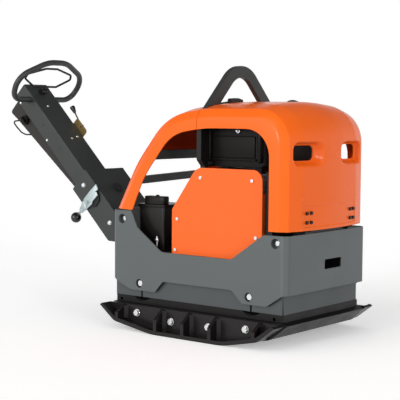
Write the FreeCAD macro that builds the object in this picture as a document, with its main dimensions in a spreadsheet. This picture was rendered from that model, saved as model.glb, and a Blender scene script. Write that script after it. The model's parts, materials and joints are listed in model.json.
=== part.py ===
"""Reversible plate compactor, about 450 kg class, as a parametric FreeCAD document.

Frame: millimetres, +X forwards, +Y to the left, +Z up, origin on the ground at the centre of the sole.
The handle pieces are drawn in the handle's own frame (origin on its hinge pin, -x along the drawbar,
+z out of its upper face) and are carried to their place by that one tilt.
"""

import FreeCAD, Part
import math
import os
from collections import namedtuple
from types import SimpleNamespace

import Sketcher
from FreeCAD import Placement, Rotation, Vector

SIZES = [
    # base plate: the casting that hits the ground
    ("base_length", 900, "tip to tip of the base plate"),
    ("base_width", 600, "width of the sole without the extension plates"),
    ("sole_thickness", 18, "cast floor of the base plate"),
    ("sole_front", 203, "flat sole, from the centre forwards"),
    ("sole_rear", 166, "flat sole, from the centre backwards"),
    ("knee_reach", 384, "centre to the knee where the sole turns up"),
    ("knee_height", 36, "height of the knee"),
    ("tip_height", 94, "height of the lip's tip"),
    ("sole_bend", 400, "radius where the flat sole starts to rise"),
    ("knee_bend", 50, "radius of the knee"),
    ("tip_width", 552, "width left between the lip's cut corners"),
    ("tub_top", 103, "top of the wide lower tub"),
    ("tub_wall", 12, "wall of the cast tub and box"),
    ("box_front", 425, "front of the narrow upper box"),
    ("box_rear", 432, "rear of the narrow upper box"),
    ("box_width", 536, "width of the upper box"),
    ("box_top", 131, "rim of the upper box, which carries the belt plates"),
    ("rim_hole_radius", 7, "drain hole near each end of the box"),
    ("rim_hole_height", 112, "height of those drain holes"),
    ("rib_thickness", 12, "cast cross ribs"),
    ("rib_top", 88, "top of the cross ribs"),
    # extension plates
    ("extension_width", 61, "how far each extension plate widens the sole"),
    ("extension_knee", 366, "centre to the knee of the extension plate"),
    ("extension_tip", 445, "centre to the tip of the extension plate"),
    ("extension_floor", 10, "floor and inner flange of the extension plate"),
    ("extension_top", 101, "top of its inner flange"),
    ("extension_rim", 16, "height of its outer rim"),
    ("gusset_thickness", 16, "gussets of the extension plate"),
    ("gusset_post", 62, "height of their outer edge"),
    ("gusset_root", 12, "cast fillet between each gusset and the flange"),
    ("drain_radius", 15, "drain holes between the gussets"),
    # belt plates around the top of the base
    ("belt_width", 540, "outer width of the belt plates"),
    ("belt_front", 418, "front face of the front belt plate"),
    ("belt_rear", 432, "rear face of the rear belt plate"),
    ("belt_thickness", 8, "belt plates"),
    ("belt_top", 210, "top of the belt plates"),
    ("belt_end_top", 188, "top of the rear belt plate, below the frame"),
    ("belt_lean", 6, "how far the end plates stand out at their lower edge"),
    ("bolt_slot", 9, "slot from each isolator bolt down to the belt's lower edge"),
    # isolators between base and frame
    ("isolator_front", 272, "front isolators"),
    ("isolator_rear", 290, "rear isolators"),
    ("isolator_height", 189, "axis of the isolators"),
    ("isolator_radius", 34, "rubber isolator"),
    ("isolator_length", 40, "rubber isolator"),
    ("lug_thickness", 32, "cast lug that carries each isolator"),
    ("lug_half", 42, "half width of that lug and of the console opposite"),
    # exciter
    ("exciter_height", 116, "axis of both eccentric shafts"),
    ("exciter_centre", 120, "middle between the two shafts"),
    ("gear_teeth", 20, "teeth of each synchronising gear"),
    ("gear_module", 6, "module of the synchronising gears"),
    ("gear_backlash", 0.6, "play between the teeth on the pitch circle"),
    ("gear_width", 30, "face width"),
    ("housing_wall", 10, "wall of the exciter housing"),
    ("housing_half", 150, "half length of the exciter housing"),
    ("cover_thickness", 26, "end covers with the bearing seats"),
    ("gear_clearance", 2, "between the teeth and the housing"),
    ("journal_radius", 20, "shaft in its bearings"),
    ("shaft_radius", 26, "shaft between the bearings"),
    ("bearing_radius", 40, "outside of the roller bearings"),
    ("bearing_width", 20, "roller bearings"),
    ("running_fit", 0.05, "radial clearance of a shaft that turns"),
    ("foot_height", 16, "feet of the exciter housing"),
    ("foot_reach", 24, "how far the feet stand out"),
    # belt drive
    ("exciter_pulley_radius", 56, "pulley on the drive shaft"),
    ("clutch_radius", 74, "centrifugal clutch pulley on the engine"),
    ("belt_centre", 223, "plane of the V-belt, to the right"),
    ("pulley_width", 32, "both pulleys"),
    ("vbelt_width", 17, "V-belt"),
    ("vbelt_height", 12, "V-belt"),
    ("crank_radius", 18, "crankshaft stub"),
    ("crank_height", 400, "crankshaft axis"),
    ("crank_forward", 130, "crankshaft axis"),
    # upper frame
    ("frame_width", 576, "outer width of the frame"),
    ("frame_front", 449, "front of the frame"),
    ("frame_rear", 443, "rear of the frame"),
    ("frame_wall", 6, "frame sheet"),
    ("frame_bend", 28, "outside radius of the frame's corners"),
    ("horn_top", 490, "rear horns that carry the rear cover"),
    ("nose_top", 436, "front edge of the frame"),
    ("saddle", 329, "lowest point of the frame's upper edge"),
    ("skirt_low", 160, "the frame's lower edge around the isolators"),
    ("skirt_high", 208, "the frame's lower edge between them"),
    ("access_radius", 18, "holes over the isolator bolts"),
    ("horn_hole_radius", 19.5, "holes over the corner bolts"),
    ("horn_hole_rear", 386, "rear corner bolts, backwards"),
    ("horn_hole_rear_height", 454, "rear corner bolts"),
    ("horn_hole_front", 396, "front corner bolts, forwards"),
    ("horn_hole_front_height", 406, "front corner bolts"),
    ("horn_cup", 16, "how far the corner bolts lie behind those holes"),
    ("horn_seat", 8, "bracket left behind each corner bolt"),
    ("nose_slot_height", 39, "rectangular hole in the front wall"),
    ("nose_slot_low", 287, "its lower edge"),
    ("nose_slot_right", 22, "its right end"),
    ("nose_slot_left", 101, "its left end"),
    ("deck_top", 236, "engine deck"),
    ("deck_thickness", 8, "engine deck"),
    ("console_wall", 12, "consoles below the deck"),
    ("belt_opening", 56, "opening in the deck for the belt, across"),
    # engine
    ("engine_rear", 24, "crankcase"),
    ("engine_front", 300, "crankcase"),
    ("engine_half", 150, "half width of the crankcase"),
    ("engine_shoulder", 480, "top of the crankcase"),
    ("engine_top", 660, "top of the cylinder head"),
    ("barrel_half", 70, "half width of the barrel"),
    ("fin_pitch", 19, "cooling fins"),
    ("fin_thickness", 5, "cooling fins"),
    ("fin_reach", 20, "how far the fins stand out"),
    ("fan_radius", 120, "fan housing"),
    ("fan_depth", 55, "fan housing"),
    ("shroud_rear", 312, "shroud in front of the belt guard"),
    ("shroud_front", 345, "its front"),
    ("shroud_right", 236, "its outer side"),
    ("shroud_left", 90, "its inner side"),
    ("shroud_top", 672, "its top"),
    ("muffler_radius", 50, "muffler"),
    ("starter_radius", 38, "starter motor"),
    # fuel tank
    ("tank_low", 684, "underside of the tank"),
    ("tank_height", 196, "height of the tank"),
    ("tank_rear", 62, "rear of the tank"),
    ("tank_front", 297, "front of the tank"),
    ("tank_right", 200, "right side of the tank"),
    ("tank_left", 190, "left side of the tank"),
    ("tank_corner", 60, "upright edges of the tank"),
    ("tank_edge", 18, "its upper edge"),
    ("tank_under_edge", 14, "its lower edge"),
    ("tank_recess", 8, "step along its lower right edge"),
    ("tank_recess_rear", 26, "where that step starts"),
    ("neck_forward", 200, "filler neck"),
    ("neck_side", 90, "filler neck, to the left"),
    ("neck_radius", 24, "filler neck"),
    ("neck_height", 18, "filler neck"),
    ("cap_radius", 31, "fuel cap"),
    # belt guard
    ("guard_side", 252, "outer face of the guard, to the right"),
    ("guard_depth", 46, "depth of its rim"),
    ("guard_wall", 6, "its plate"),
    ("guard_rim", 4, "its rim"),
    ("guard_rear", -144, "rear edge of the guard"),
    ("guard_front", 308, "front edge of the guard"),
    ("guard_top", 680, "top of the guard"),
    ("guard_brow", -18, "where its top meets the slope"),
    ("guard_elbow", 505, "where the slope meets the rear edge"),
    # battery
    ("battery_rear", 345, "rear of the battery at its foot"),
    ("battery_front", 210, "front of the battery"),
    ("battery_right", 240, "right side"),
    ("battery_left", 90, "left side"),
    ("battery_low", 296, "underside of the battery"),
    ("battery_top", 512, "top of its case"),
    ("lid_height", 40, "cover on top of it"),
    # hood and rear cover: one moulded band
    ("hood_inset", 4, "the hood's flat sides lie this far inside the frame's"),
    ("hood_wall", 5, "moulded wall"),
    ("hood_top", 946, "roof at its crown"),
    ("hood_crown", 18, "how far the roof falls from the middle to the shoulders"),
    ("shoulder", 42, "radius between roof and sides"),
    ("band_depth", 107, "roof down to the edge of the side windows"),
    ("hood_front", 468, "front of the hood at its crown"),
    ("hood_nose_bend", 165, "radius between roof and front"),
    ("hood_bottom", 450, "lower edge of the hood"),
    ("seam", 7, "joint between the rear cover and the hood"),
    ("seam_gap", 2, "width of that joint"),
    ("cover_bottom", 494, "lower edge of the rear cover"),
    ("cover_heel", 465, "rear cover at its lower edge, backwards"),
    ("cover_elbow", 350, "where the rear cover bends forwards"),
    ("elbow_share", 0.51, "height of that bend, as a share of the way up to the roof"),
    ("cover_brow", 181, "where the rear cover meets the roof"),
    ("brow_drop", 34, "how far the roof falls down to that bend"),
    ("roof_break", 31, "where the roof starts to fall towards the rear"),
    ("roof_bend", 900, "radius of that bend"),
    ("brow_bend", 300, "radius between roof and rear slope"),
    ("elbow_bend", 600, "radius at the rear cover's elbow"),
    ("rear_panel_low", 700, "lower edge of the panel between the rear arches"),
    ("arch_width", 54, "rear arches, across"),
    ("eye_outer", 244, "outer end of the hand holes in the hood's front"),
    ("eye_inner", 115, "inner end of a hand hole, where its scoop starts"),
    ("eye_height", 59, "height of a hand hole"),
    ("eye_level", 748, "axis of the hand holes"),
    ("scoop_end", 54, "end of the scoop that leads a hand into the hole"),
    ("scoop_depth", 18, "depth of the scoop at the hole"),
    ("window_bend", 110, "upper front corner of the side windows"),
    ("hood_hinge_forward", 452, "hood hinge axis"),
    ("hood_hinge_height", 443, "hood hinge axis"),
    ("hood_hinge_side", 155, "middle of each hood hinge"),
    ("hood_pin_radius", 3, "hood hinge pin"),
    ("hood_barrel", 5.5, "radius of the hinge barrels"),
    ("screw_pitch_across", 27, "hood hinge screws"),
    ("screw_pitch_up", 36, "hood hinge screws"),
    ("screw_level", 500, "middle of the hood hinge screws"),
    ("knuckle_length", 20, "hood hinge knuckles"),
    ("hinge_sheet", 4, "hood hinge sheet"),
    ("latch_side", 71, "roof latch, to the right"),
    ("latch_width", 28, "roof latch"),
    ("keeper_rear", 95, "rear end of the latch's keeper on the rear cover"),
    ("keeper_thickness", 6, "keeper strip"),
    ("plug_forward", 272, "plug in the roof"),
    ("crossbar_back", 229, "upper bar between the rear arches"),
    ("crossbar_rise", 18, "upper bar, above the rear cover's elbow"),
    ("crossbar_half", 19, "half the height of the upper bar"),
    ("bar_half", 12, "half the thickness of both bars"),
    ("brace_back", 300, "lower bar between the rear arches"),
    ("bar_spacing", 97, "from the upper bar down to the lower bar's middle"),
    ("brace_half", 15.5, "half the height of the lower bar"),
    ("brace_lift", 9, "how much its left end rises above its middle"),
    # lifting hoop
    ("hoop_top", 1093, "top of the lifting hoop"),
    ("hoop_width", 48, "flat bar, in the hoop's plane"),
    ("hoop_thickness", 22, "flat bar, along the machine"),
    ("hoop_bend", 140, "outside radius of its apex"),
    ("hoop_foot", 246, "middle of each leg, to each side"),
    ("hoop_gap", 4, "around the hoop in the roof"),
    ("hoop_slope", 45, "slope of its upper arms, in degrees"),
    # drawbar handle
    ("handle_tilt", 45, "tilt of the drawbar, in degrees"),
    ("pivot_back", 500, "handle hinge, behind the centre"),
    ("pivot_height", 335, "handle hinge"),
    ("pin_radius", 15, "handle hinge pin"),
    ("bracket_width", 250, "bracket at the foot of the drawbar"),
    ("bracket_wall", 6, "its sheet"),
    ("bracket_length", 400, "hinge pin to its upper end"),
    ("bracket_top", 33, "web above the hinge pin"),
    ("bracket_low", 87, "lower edge below the hinge pin"),
    ("beam_width", 150, "drawbar"),
    ("beam_depth", 85, "drawbar"),
    ("beam_wall", 4, "drawbar sheet"),
    ("beam_drop", 12, "drawbar's upper face below the hinge pin"),
    ("beam_end", 990, "hinge pin to the drawbar's upper end"),
    ("beam_start", 60, "hinge pin to the drawbar's lower end"),
    ("under_cover_width", 120, "cover below the drawbar"),
    ("under_cover_deep", 181, "its lower edge at the upper end"),
    ("under_cover_shallow", 120, "its lower edge at the bracket"),
    ("mount_upper", 355, "upper rubber bushings"),
    ("mount_lower", 129, "lower rubber bushings"),
    ("mount_drop", 22, "their axis below the hinge pin"),
    ("loop_radius", 13, "tube of the guard loop"),
    ("loop_knee", 186, "guard loop, half width where it leaves the drawbar"),
    ("loop_half", 214, "guard loop, half width to its bend's sharp point"),
    ("loop_shoulder", 119, "height of that point"),
    ("loop_rise", 202, "guard loop, height of its middle run"),
    ("loop_flat", 60, "half length of its middle run"),
    ("loop_knee_bend", 60, "its bend beside the drawbar"),
    ("loop_side_bend", 82, "its bend at each side"),
    ("loop_top_bend", 160, "its bend into the middle run"),
    ("loop_back", 909, "guard loop ends, along the drawbar"),
    ("loop_drop", 32, "guard loop ends, below the hinge pin"),
    ("loop_lean", 13, "guard loop leans back, in degrees"),
    ("bail_radius", 5, "rod of the travel bail"),
    ("bail_back", 931, "travel bail pivot, along the drawbar"),
    ("bail_rise", 2, "travel bail pivot, above the hinge pin"),
    ("plug_back", 283, "grommet in the bracket's web, along the drawbar"),
    ("grommet_radius", 25, "grommet"),
    ("lug_gap", 9, "between the bracket's cheeks and the bearing lugs"),
    ("mount_lug", 14, "bearing lugs of the handle"),
    ("throttle_back", 690, "throttle, along the drawbar"),
    ("throttle_sheet", 3, "throttle bracket"),
    ("lock_back", 281, "lock lever's pivot, along the drawbar"),
    ("lock_drop", 55, "lock lever's pivot, below the hinge pin"),
    ("knob_radius", 24, "lock lever's knob"),
    ("switch_back", 872, "key switch, along the drawbar"),
    ("switch_drop", 132, "key switch, below the hinge pin"),
    ("seat_gap", 0.3, "play between faces that slide past each other"),
    # fasteners
    ("bolt_radius", 8, "M16 shank"),
    ("bolt_hole", 8.5, "hole for it"),
    ("frame_bolt_radius", 6, "corner bolts of the frame"),
    ("small_bolt_radius", 4, "guard screws"),
    ("bolt_head", 22, "across flats"),
    ("bolt_head_height", 9, "hexagon head"),
    ("washer_radius", 15, "washer"),
    ("washer_thickness", 3, "washer"),
]

doc = FreeCAD.newDocument("plate_compactor")
sheet = doc.addObject("Spreadsheet::Sheet", "sizes")


class Size:
    """A size that knows its value and the expression that binds it to the sheet."""

    def __init__(self, value, text=None):
        self.value = float(value)
        self.text = text or f"{float(value):.9g}"

    def __add__(self, other):
        other = sized(other)
        return Size(self.value + other.value, f"({self.text} + {other.text})")

    def __sub__(self, other):
        other = sized(other)
        return Size(self.value - other.value, f"({self.text} - {other.text})")

    def __mul__(self, other):
        other = sized(other)
        return Size(self.value * other.value, f"({self.text} * {other.text})")

    def __truediv__(self, other):
        other = sized(other)
        return Size(self.value / other.value, f"({self.text} / {other.text})")

    def __radd__(self, other):
        return sized(other) + self

    def __rsub__(self, other):
        return sized(other) - self

    def __rmul__(self, other):
        return sized(other) * self

    def __rtruediv__(self, other):
        return sized(other) / self

    def __neg__(self):
        return Size(-self.value, f"(-1 * {self.text})")


def sized(value):
    return value if isinstance(value, Size) else Size(value)


def cosine(angle):
    return Size(math.cos(math.radians(angle.value)), f"cos({angle.text})")


def sine(angle):
    return Size(math.sin(math.radians(angle.value)), f"sin({angle.text})")


def fill_sheet():
    """Writes the driving dimensions to the sheet and hands them out by name."""
    names = {}
    for row, (alias, value, note) in enumerate(SIZES, 1):
        sheet.set(f"A{row}", alias)
        sheet.set(f"B{row}", str(value))
        sheet.setAlias(f"B{row}", alias)
        sheet.set(f"C{row}", note)
        names[alias] = Size(value, f"sizes.{alias}")
    return SimpleNamespace(**names)


s = fill_sheet()
s.hood_width = s.frame_width - s.hood_inset * 2
s.cover_brow_height = s.hood_top - s.brow_drop
s.cover_elbow_height = s.cover_bottom + (s.cover_brow_height - s.cover_bottom) * s.elbow_share
s.crossbar_height = s.cover_elbow_height + s.crossbar_rise
s.brace_height = s.crossbar_height - s.bar_spacing
Circle = namedtuple("Circle", "x y radius")
nodes = []


# ---- drawing tools -------------------------------------------------------------------------------


def bind(thing, path, size):
    thing.setExpression(path, sized(size).text)


def place(thing, x=0, y=0, z=0):
    """Puts a piece's own origin at a point."""
    bind(thing, "Placement.Base.x", x)
    bind(thing, "Placement.Base.y", y)
    bind(thing, "Placement.Base.z", z)


def on_handle(thing, x=0, z=0, lean=0):
    """Carries a piece from the handle's frame, with its origin at (x, z) there, to its place."""
    tilt = s.handle_tilt
    x, z = sized(x), sized(z)
    thing.Placement = Placement(Vector(), Rotation(Vector(0, 1, 0), tilt.value))
    bind(thing, "Placement.Rotation.Angle", tilt - lean)
    bind(thing, "Placement.Base.x", -s.pivot_back + x * cosine(tilt) + z * sine(tilt))
    bind(thing, "Placement.Base.z", s.pivot_height - x * sine(tilt) + z * cosine(tilt))


def body(name):
    made = doc.addObject("PartDesign::Body", name)
    made.Label = name
    nodes.append(made)
    return made


def new_sketch(owner, plane, offset=0):
    """A sketch on an origin plane of its own body, moved along that plane's normal."""
    drawn = owner.newObject("Sketcher::SketchObject", f"{owner.Name}_sketch")
    planes = {feature.Role: feature for feature in owner.Origin.OriginFeatures}
    drawn.AttachmentSupport = [(planes[f"{plane}_Plane"], "")]
    drawn.MapMode = "FlatFace"
    bind(drawn, "AttachmentOffset.Base.z", offset)
    return drawn


def hold(drawn, geometry, position, x, y):
    """Binds a point's two coordinates."""
    for kind, size in (("DistanceX", sized(x)), ("DistanceY", sized(y))):
        number = drawn.addConstraint(Sketcher.Constraint(kind, -1, 1, geometry, position, size.value))
        bind(drawn, f"Constraints[{number}]", size)


def draw_circle(drawn, circle):
    centre = Vector(sized(circle.x).value, sized(circle.y).value, 0)
    radius = sized(circle.radius)
    ring = drawn.addGeometry(Part.Circle(centre, Vector(0, 0, 1), radius.value))
    hold(drawn, ring, 3, circle.x, circle.y)
    number = drawn.addConstraint(Sketcher.Constraint("Radius", ring, radius.value))
    bind(drawn, f"Constraints[{number}]", radius)


def draw_corners(drawn, corners, closed=True):
    """Draws an outline, or an open path. A corner is (x, y) or (x, y, radius).

    The sharp point of a rounded corner is a construction point, so that it can be bound too.
    """
    points = [Vector(sized(c[0]).value, sized(c[1]).value, 0) for c in corners]
    count = len(points)
    ends = []
    for index, corner in enumerate(corners):
        here = points[index]
        if len(corner) < 3:
            ends.append((here, here))
            continue
        back = (points[index - 1] - here).normalize()
        ahead = (points[(index + 1) % count] - here).normalize()
        reach = sized(corner[2]).value / math.tan(back.getAngle(ahead) / 2)
        ends.append((here + back * reach, here + ahead * reach))
    runs = count if closed else count - 1
    lines = [
        drawn.addGeometry(Part.LineSegment(ends[i][1], ends[(i + 1) % count][0])) for i in range(runs)
    ]
    for index, corner in enumerate(corners):
        before = lines[index - 1] if closed or index > 0 else None
        after = lines[index] if closed or index < runs else None
        if len(corner) < 3:
            if before is not None and after is not None:
                drawn.addConstraint(Sketcher.Constraint("Coincident", before, 2, after, 1))
            hold(drawn, *((after, 1) if after is not None else (before, 2)), corner[0], corner[1])
            continue
        round_corner(drawn, corner, points[index], ends[index], before, after)


def round_corner(drawn, corner, point, ends, before, after):
    """Joins two lines by a tangent arc and binds its radius and the sharp point that it replaces."""
    radius = sized(corner[2])
    first, last = ends
    turns_left = (point - first).cross(last - point).z > 0
    inward = ((first - point).normalize() + (last - point).normalize()).normalize()
    half = (first - point).getAngle(last - point) / 2
    centre = point + inward * (radius.value / math.sin(half))
    start, stop = (first, last) if turns_left else (last, first)
    angles = [math.atan2(p.y - centre.y, p.x - centre.x) for p in (start, stop)]
    if angles[1] < angles[0]:
        angles[1] += 2 * math.pi
    circle = Part.Circle(centre, Vector(0, 0, 1), radius.value)
    arc = drawn.addGeometry(Part.ArcOfCircle(circle, *angles))
    mark = drawn.addGeometry(Part.Point(point), True)
    entry, leave = (1, 2) if turns_left else (2, 1)
    drawn.addConstraint(Sketcher.Constraint("PointOnObject", mark, 1, before))
    drawn.addConstraint(Sketcher.Constraint("PointOnObject", mark, 1, after))
    hold(drawn, mark, 1, corner[0], corner[1])
    drawn.addConstraint(Sketcher.Constraint("Tangent", before, 2, arc, entry))
    drawn.addConstraint(Sketcher.Constraint("Tangent", arc, leave, after, 1))
    number = drawn.addConstraint(Sketcher.Constraint("Radius", arc, radius.value))
    bind(drawn, f"Constraints[{number}]", radius)


def draw(owner, plane, offset, outlines):
    drawn = new_sketch(owner, plane, offset)
    for outline in outlines:
        if isinstance(outline, Circle):
            draw_circle(drawn, outline)
        else:
            draw_corners(drawn, outline)
    return drawn


def pad(owner, plane, low, high, *outlines):
    """Adds outlines drawn on XY, XZ or YZ, from low to high along the plane's world axis."""
    start = -sized(high) if plane == "XZ" else sized(low)
    made = owner.newObject("PartDesign::Pad", f"{owner.Name}_pad")
    made.Profile = draw(owner, plane, start, outlines)
    bind(made, "Length", sized(high) - low)
    return made


def pocket(owner, plane, low, high, *outlines):
    """Cuts outlines drawn on XY, XZ or YZ, from low to high along the plane's world axis."""
    doc.recompute()
    before = owner.Shape.Volume
    start = -sized(low) if plane == "XZ" else sized(high)
    made = owner.newObject("PartDesign::Pocket", f"{owner.Name}_pocket")
    made.Profile = draw(owner, plane, start, outlines)
    bind(made, "Length", sized(high) - low)
    doc.recompute()
    if owner.Shape.Volume >= before:
        raise ValueError(f"a pocket in {owner.Name} cuts nothing")
    return made


def turn(owner, *outlines):
    """Revolves outlines drawn on YZ about the body's own Y axis."""
    made = owner.newObject("PartDesign::Revolution", f"{owner.Name}_turned")
    made.Profile = draw(owner, "YZ", 0, outlines)
    made.ReferenceAxis = (made.Profile[0], ["H_Axis"])
    doc.recompute()
    return made


def sweep(owner, section_plane, section_offset, section, path_plane, path_offset, path, closed=False):
    """Sweeps an outline along a path of straight runs and tangent arcs."""
    spine = new_sketch(owner, path_plane, path_offset)
    draw_corners(spine, path, closed)
    profile = draw(owner, section_plane, section_offset, [section])
    doc.recompute()
    made = owner.newObject("PartDesign::AdditivePipe", f"{owner.Name}_swept")
    made.Profile = profile
    made.Spine = (spine, [f"Edge{n + 1}" for n in range(len(spine.Shape.Edges))])
    doc.recompute()
    return made


def soften(owner, radius, chosen):
    """Fillets the edges of the body so far that pass a test."""
    doc.recompute()
    edges = [f"Edge{n}" for n, edge in enumerate(owner.Shape.Edges, 1) if chosen(edge)]
    sharp = owner.Tip
    made = owner.newObject("PartDesign::Fillet", f"{owner.Name}_round")
    made.Base = (sharp, edges)
    bind(made, "Radius", radius)
    doc.recompute()
    return made


def box_outline(low_a, low_b, high_a, high_b, *radius):
    """The four corners of a rectangle, each rounded if a radius is given."""
    corners = ((low_a, low_b), (high_a, low_b), (high_a, high_b), (low_a, high_b))
    return [(*corner, *radius) for corner in corners]


def group(name, solids):
    """One node that holds like pieces as separate solids, such as a set of bolts."""
    made = doc.addObject("Part::Feature", name)
    made.Shape = Part.makeCompound(solids)
    made.Label = name
    nodes.append(made)
    return made


def rod(radius, start, end):
    start, end = Vector(*start), Vector(*end)
    return Part.makeCylinder(radius, (end - start).Length, start, end - start)


def hexagon_bolt(seat, outwards, reach, head, washer=True):
    """A bolt with its seat on a face: the head stands outwards, the shank reaches in.

    head is (across flats, head height, shank radius).
    """
    seat, outwards = Vector(*seat), Vector(*outwards)
    flats, height, shank = head
    solids = []
    base = seat
    if washer:
        thickness = s.washer_thickness.value
        ring = Part.makeCylinder(s.washer_radius.value, thickness, seat, outwards)
        solids.append(ring.cut(Part.makeCylinder(shank, thickness, seat, outwards)))
        base = seat + outwards * thickness
    across = Rotation(Vector(0, 0, 1), outwards)
    corner = flats / math.sqrt(3)
    turns = [math.radians(60 * n) for n in range(7)]
    ring = [base + across.multVec(Vector(corner * math.cos(a), corner * math.sin(a), 0)) for a in turns]
    top = Part.Face(Part.makePolygon(ring)).extrude(outwards * height)
    stem = Part.makeCylinder(shank, reach + (base - seat).Length, base, outwards * -1)
    solids.append(top.fuse(stem).removeSplitter())
    return solids


M16 = (s.bolt_head.value, s.bolt_head_height.value, s.bolt_radius.value)


# ---- base: the lower mass ------------------------------------------------------------------------


def sole_outline(knee, tip, top_front, top_rear, top):
    """Underside of the sole from lip to lip, closed along a level line."""
    return [
        (-tip, s.tip_height),
        (-knee, s.knee_height * knee / s.knee_reach, s.knee_bend),
        (-s.sole_rear, 0, s.sole_bend),
        (s.sole_front, 0, s.sole_bend),
        (knee, s.knee_height * knee / s.knee_reach, s.knee_bend),
        (tip, s.tip_height),
        (top_front, top),
        (-top_rear, top),
    ]


def cavity_outline(top):
    """Inside of the tub: its floor keeps the sole's thickness over the flat and over the rise."""
    floor = s.sole_thickness
    front, rear = s.box_front - s.tub_wall, s.box_rear - s.tub_wall
    knee = s.knee_reach - s.tub_wall
    return [
        (-rear, top),
        (-rear, s.tip_height - s.sole_thickness),
        (-knee, s.knee_height + floor),
        (-s.sole_rear, floor),
        (s.sole_front, floor),
        (knee, s.knee_height + floor),
        (front, s.tip_height - s.sole_thickness),
        (front, top),
    ]


isolators = [
    (x, side) for x in (-s.isolator_rear, s.isolator_front) for side in (-1, 1)
]
extension_bolts = [(-0.62, 0.70), (-0.213, 0.53), (0.213, 0.54), (0.62, 0.67)]


def extension_bolt_places():
    """Places of the extension bolts as shares of the half length and of the flange height."""
    half = s.base_length / 2
    return [(half * along, s.extension_top * up) for along, up in extension_bolts]


def make_base_plate():
    plate = body("base_plate")
    half, width = s.base_length / 2, s.base_width / 2
    box = s.box_width / 2
    pad(plate, "XZ", -width, width,
        sole_outline(s.knee_reach, half, s.box_front, s.box_rear, s.tub_top))
    pad(plate, "XY", s.tub_top, s.box_top, box_outline(-s.box_rear, -box, s.box_front, box))
    inner = width - s.tub_wall
    pocket(plate, "XZ", -inner, inner, cavity_outline(s.tub_top - s.tub_wall))
    mouth = box - s.tub_wall
    pocket(plate, "XY", s.tub_top - 2 * s.tub_wall, s.box_top,
           box_outline(s.tub_wall - s.box_rear, -mouth, s.box_front - s.tub_wall, mouth))
    for end in (-1, 1):
        for side in (-1, 1):
            pocket(plate, "XY", 0, s.tub_top, [
                (end * s.knee_reach, side * width),
                (end * half, side * s.tip_width / 2),
                (end * half, side * width),
            ])
    for x in (-0.67, -0.30):
        middle = half * x
        pad(plate, "YZ", middle - s.rib_thickness / 2, middle + s.rib_thickness / 2,
            box_outline(-inner, s.sole_thickness * (1 - x), inner, s.rib_top))
    seat = s.exciter_height - housing_radius
    ridge = s.housing_half - s.foot_reach
    reach = s.exciter_centre + foot_span
    for side in (-1, 1):
        pad(plate, "XY", s.sole_thickness - 1, seat,
            box_outline(2 * s.exciter_centre - reach, side * ridge, reach, side * s.housing_half))
    lug = s.belt_width / 2 - s.belt_thickness
    for x, side in isolators:
        pad(plate, "XY", s.tub_top - s.tub_wall, s.isolator_height + s.isolator_radius,
            box_outline(x - s.lug_half, side * (lug - s.lug_thickness), x + s.lug_half, side * lug))
    for x, side in isolators:
        moon = Circle(x, s.isolator_height - 1.5 * s.bolt_slot, 7 * s.bolt_slot)
        low, high = sorted((side * lug, side * (lug + s.belt_thickness)), key=lambda size: size.value)
        pocket(plate, "XZ", low, high, moon)
        pocket(plate, "XZ", *ordered(side * lug, side * (lug - s.lug_thickness)),
               Circle(x, s.isolator_height, s.bolt_hole))
    holes = [Circle(x, z, s.bolt_hole) for x, z in extension_bolt_places()]
    rims = [Circle(x, s.rim_hole_height, s.rim_hole_radius) for x in (-0.9 * half, 0.847 * half)]
    pocket(plate, "XZ", -width, width, *holes, *rims)


def ordered(first, second):
    """Two sizes, the smaller one first."""
    return (first, second) if first.value < second.value else (second, first)


def make_extension(name, side):
    """One extension plate: flange on the tub, floor, outer rim and gussets between them."""
    plate = body(name)
    inner = s.base_width / 2
    outer = inner + s.extension_width
    knee, tip, floor = s.extension_knee, s.extension_tip, s.extension_floor

    def rising(lift):
        """The sole's line, lifted, from the front tip back to the rear one."""
        height = s.knee_height * knee / s.knee_reach + lift
        return [
            (tip - 0.9 * lift, s.tip_height + 0.7 * floor),
            (knee - 0.4 * lift, height, s.knee_bend),
            (s.sole_front, lift, s.sole_bend),
            (-s.sole_rear, lift, s.sole_bend),
            (0.4 * lift - knee, height, s.knee_bend),
            (0.9 * lift - tip, s.tip_height + 0.7 * floor),
        ]

    under = sole_outline(knee, tip, s.sole_front, s.sole_rear, s.tub_top)[:6]
    pad(plate, "XZ", *ordered(side * inner, side * outer), under + rising(floor))
    pad(plate, "XZ", *ordered(side * (outer - floor), side * outer), under + rising(s.extension_rim))
    flange = [(tip - floor, s.extension_top), (floor - tip, s.extension_top)]
    pad(plate, "XZ", *ordered(side * inner, side * (inner + floor)), under + flange)
    gap = (s.extension_knee + s.sole_rear) / 3.9
    for place_x in (-0.96, -0.388, 0, 0.374, 0.95):
        middle = s.extension_knee * place_x
        rise = 0.9 * s.knee_height if abs(place_x) > 0.9 else 0
        ramp = [
            (side * inner, rise + floor / 2),
            (side * inner, s.extension_top),
            (side * (inner + floor), s.extension_top),
            (side * outer, s.gusset_post + 0.3 * rise),
            (side * outer, rise + floor / 2),
        ]
        face = middle + s.gusset_thickness / 2
        pad(plate, "YZ", middle - s.gusset_thickness / 2, face, ramp)
        pad(plate, "XY", rise + floor, s.extension_top - 0.5 * s.gusset_root, [
            (face - 1, side * (inner + floor - 1)),
            (face + s.gusset_root, side * (inner + floor - 1)),
            (face + s.gusset_root, side * (inner + floor)),
            (face, side * (inner + floor + s.gusset_root)),
            (face - 1, side * (inner + floor + s.gusset_root)),
        ])
    middle = side * (inner + s.extension_width / 2)
    drains = [Circle(gap * step, middle, s.drain_radius) for step in (-1.35, -0.4, 0.38, 1.5)]
    pocket(plate, "XY", -floor, 3 * floor, *drains)
    bolts = [Circle(x, z, s.bolt_hole) for x, z in extension_bolt_places()]
    pocket(plate, "XZ", *ordered(side * inner, side * (inner + floor)), *bolts)


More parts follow.
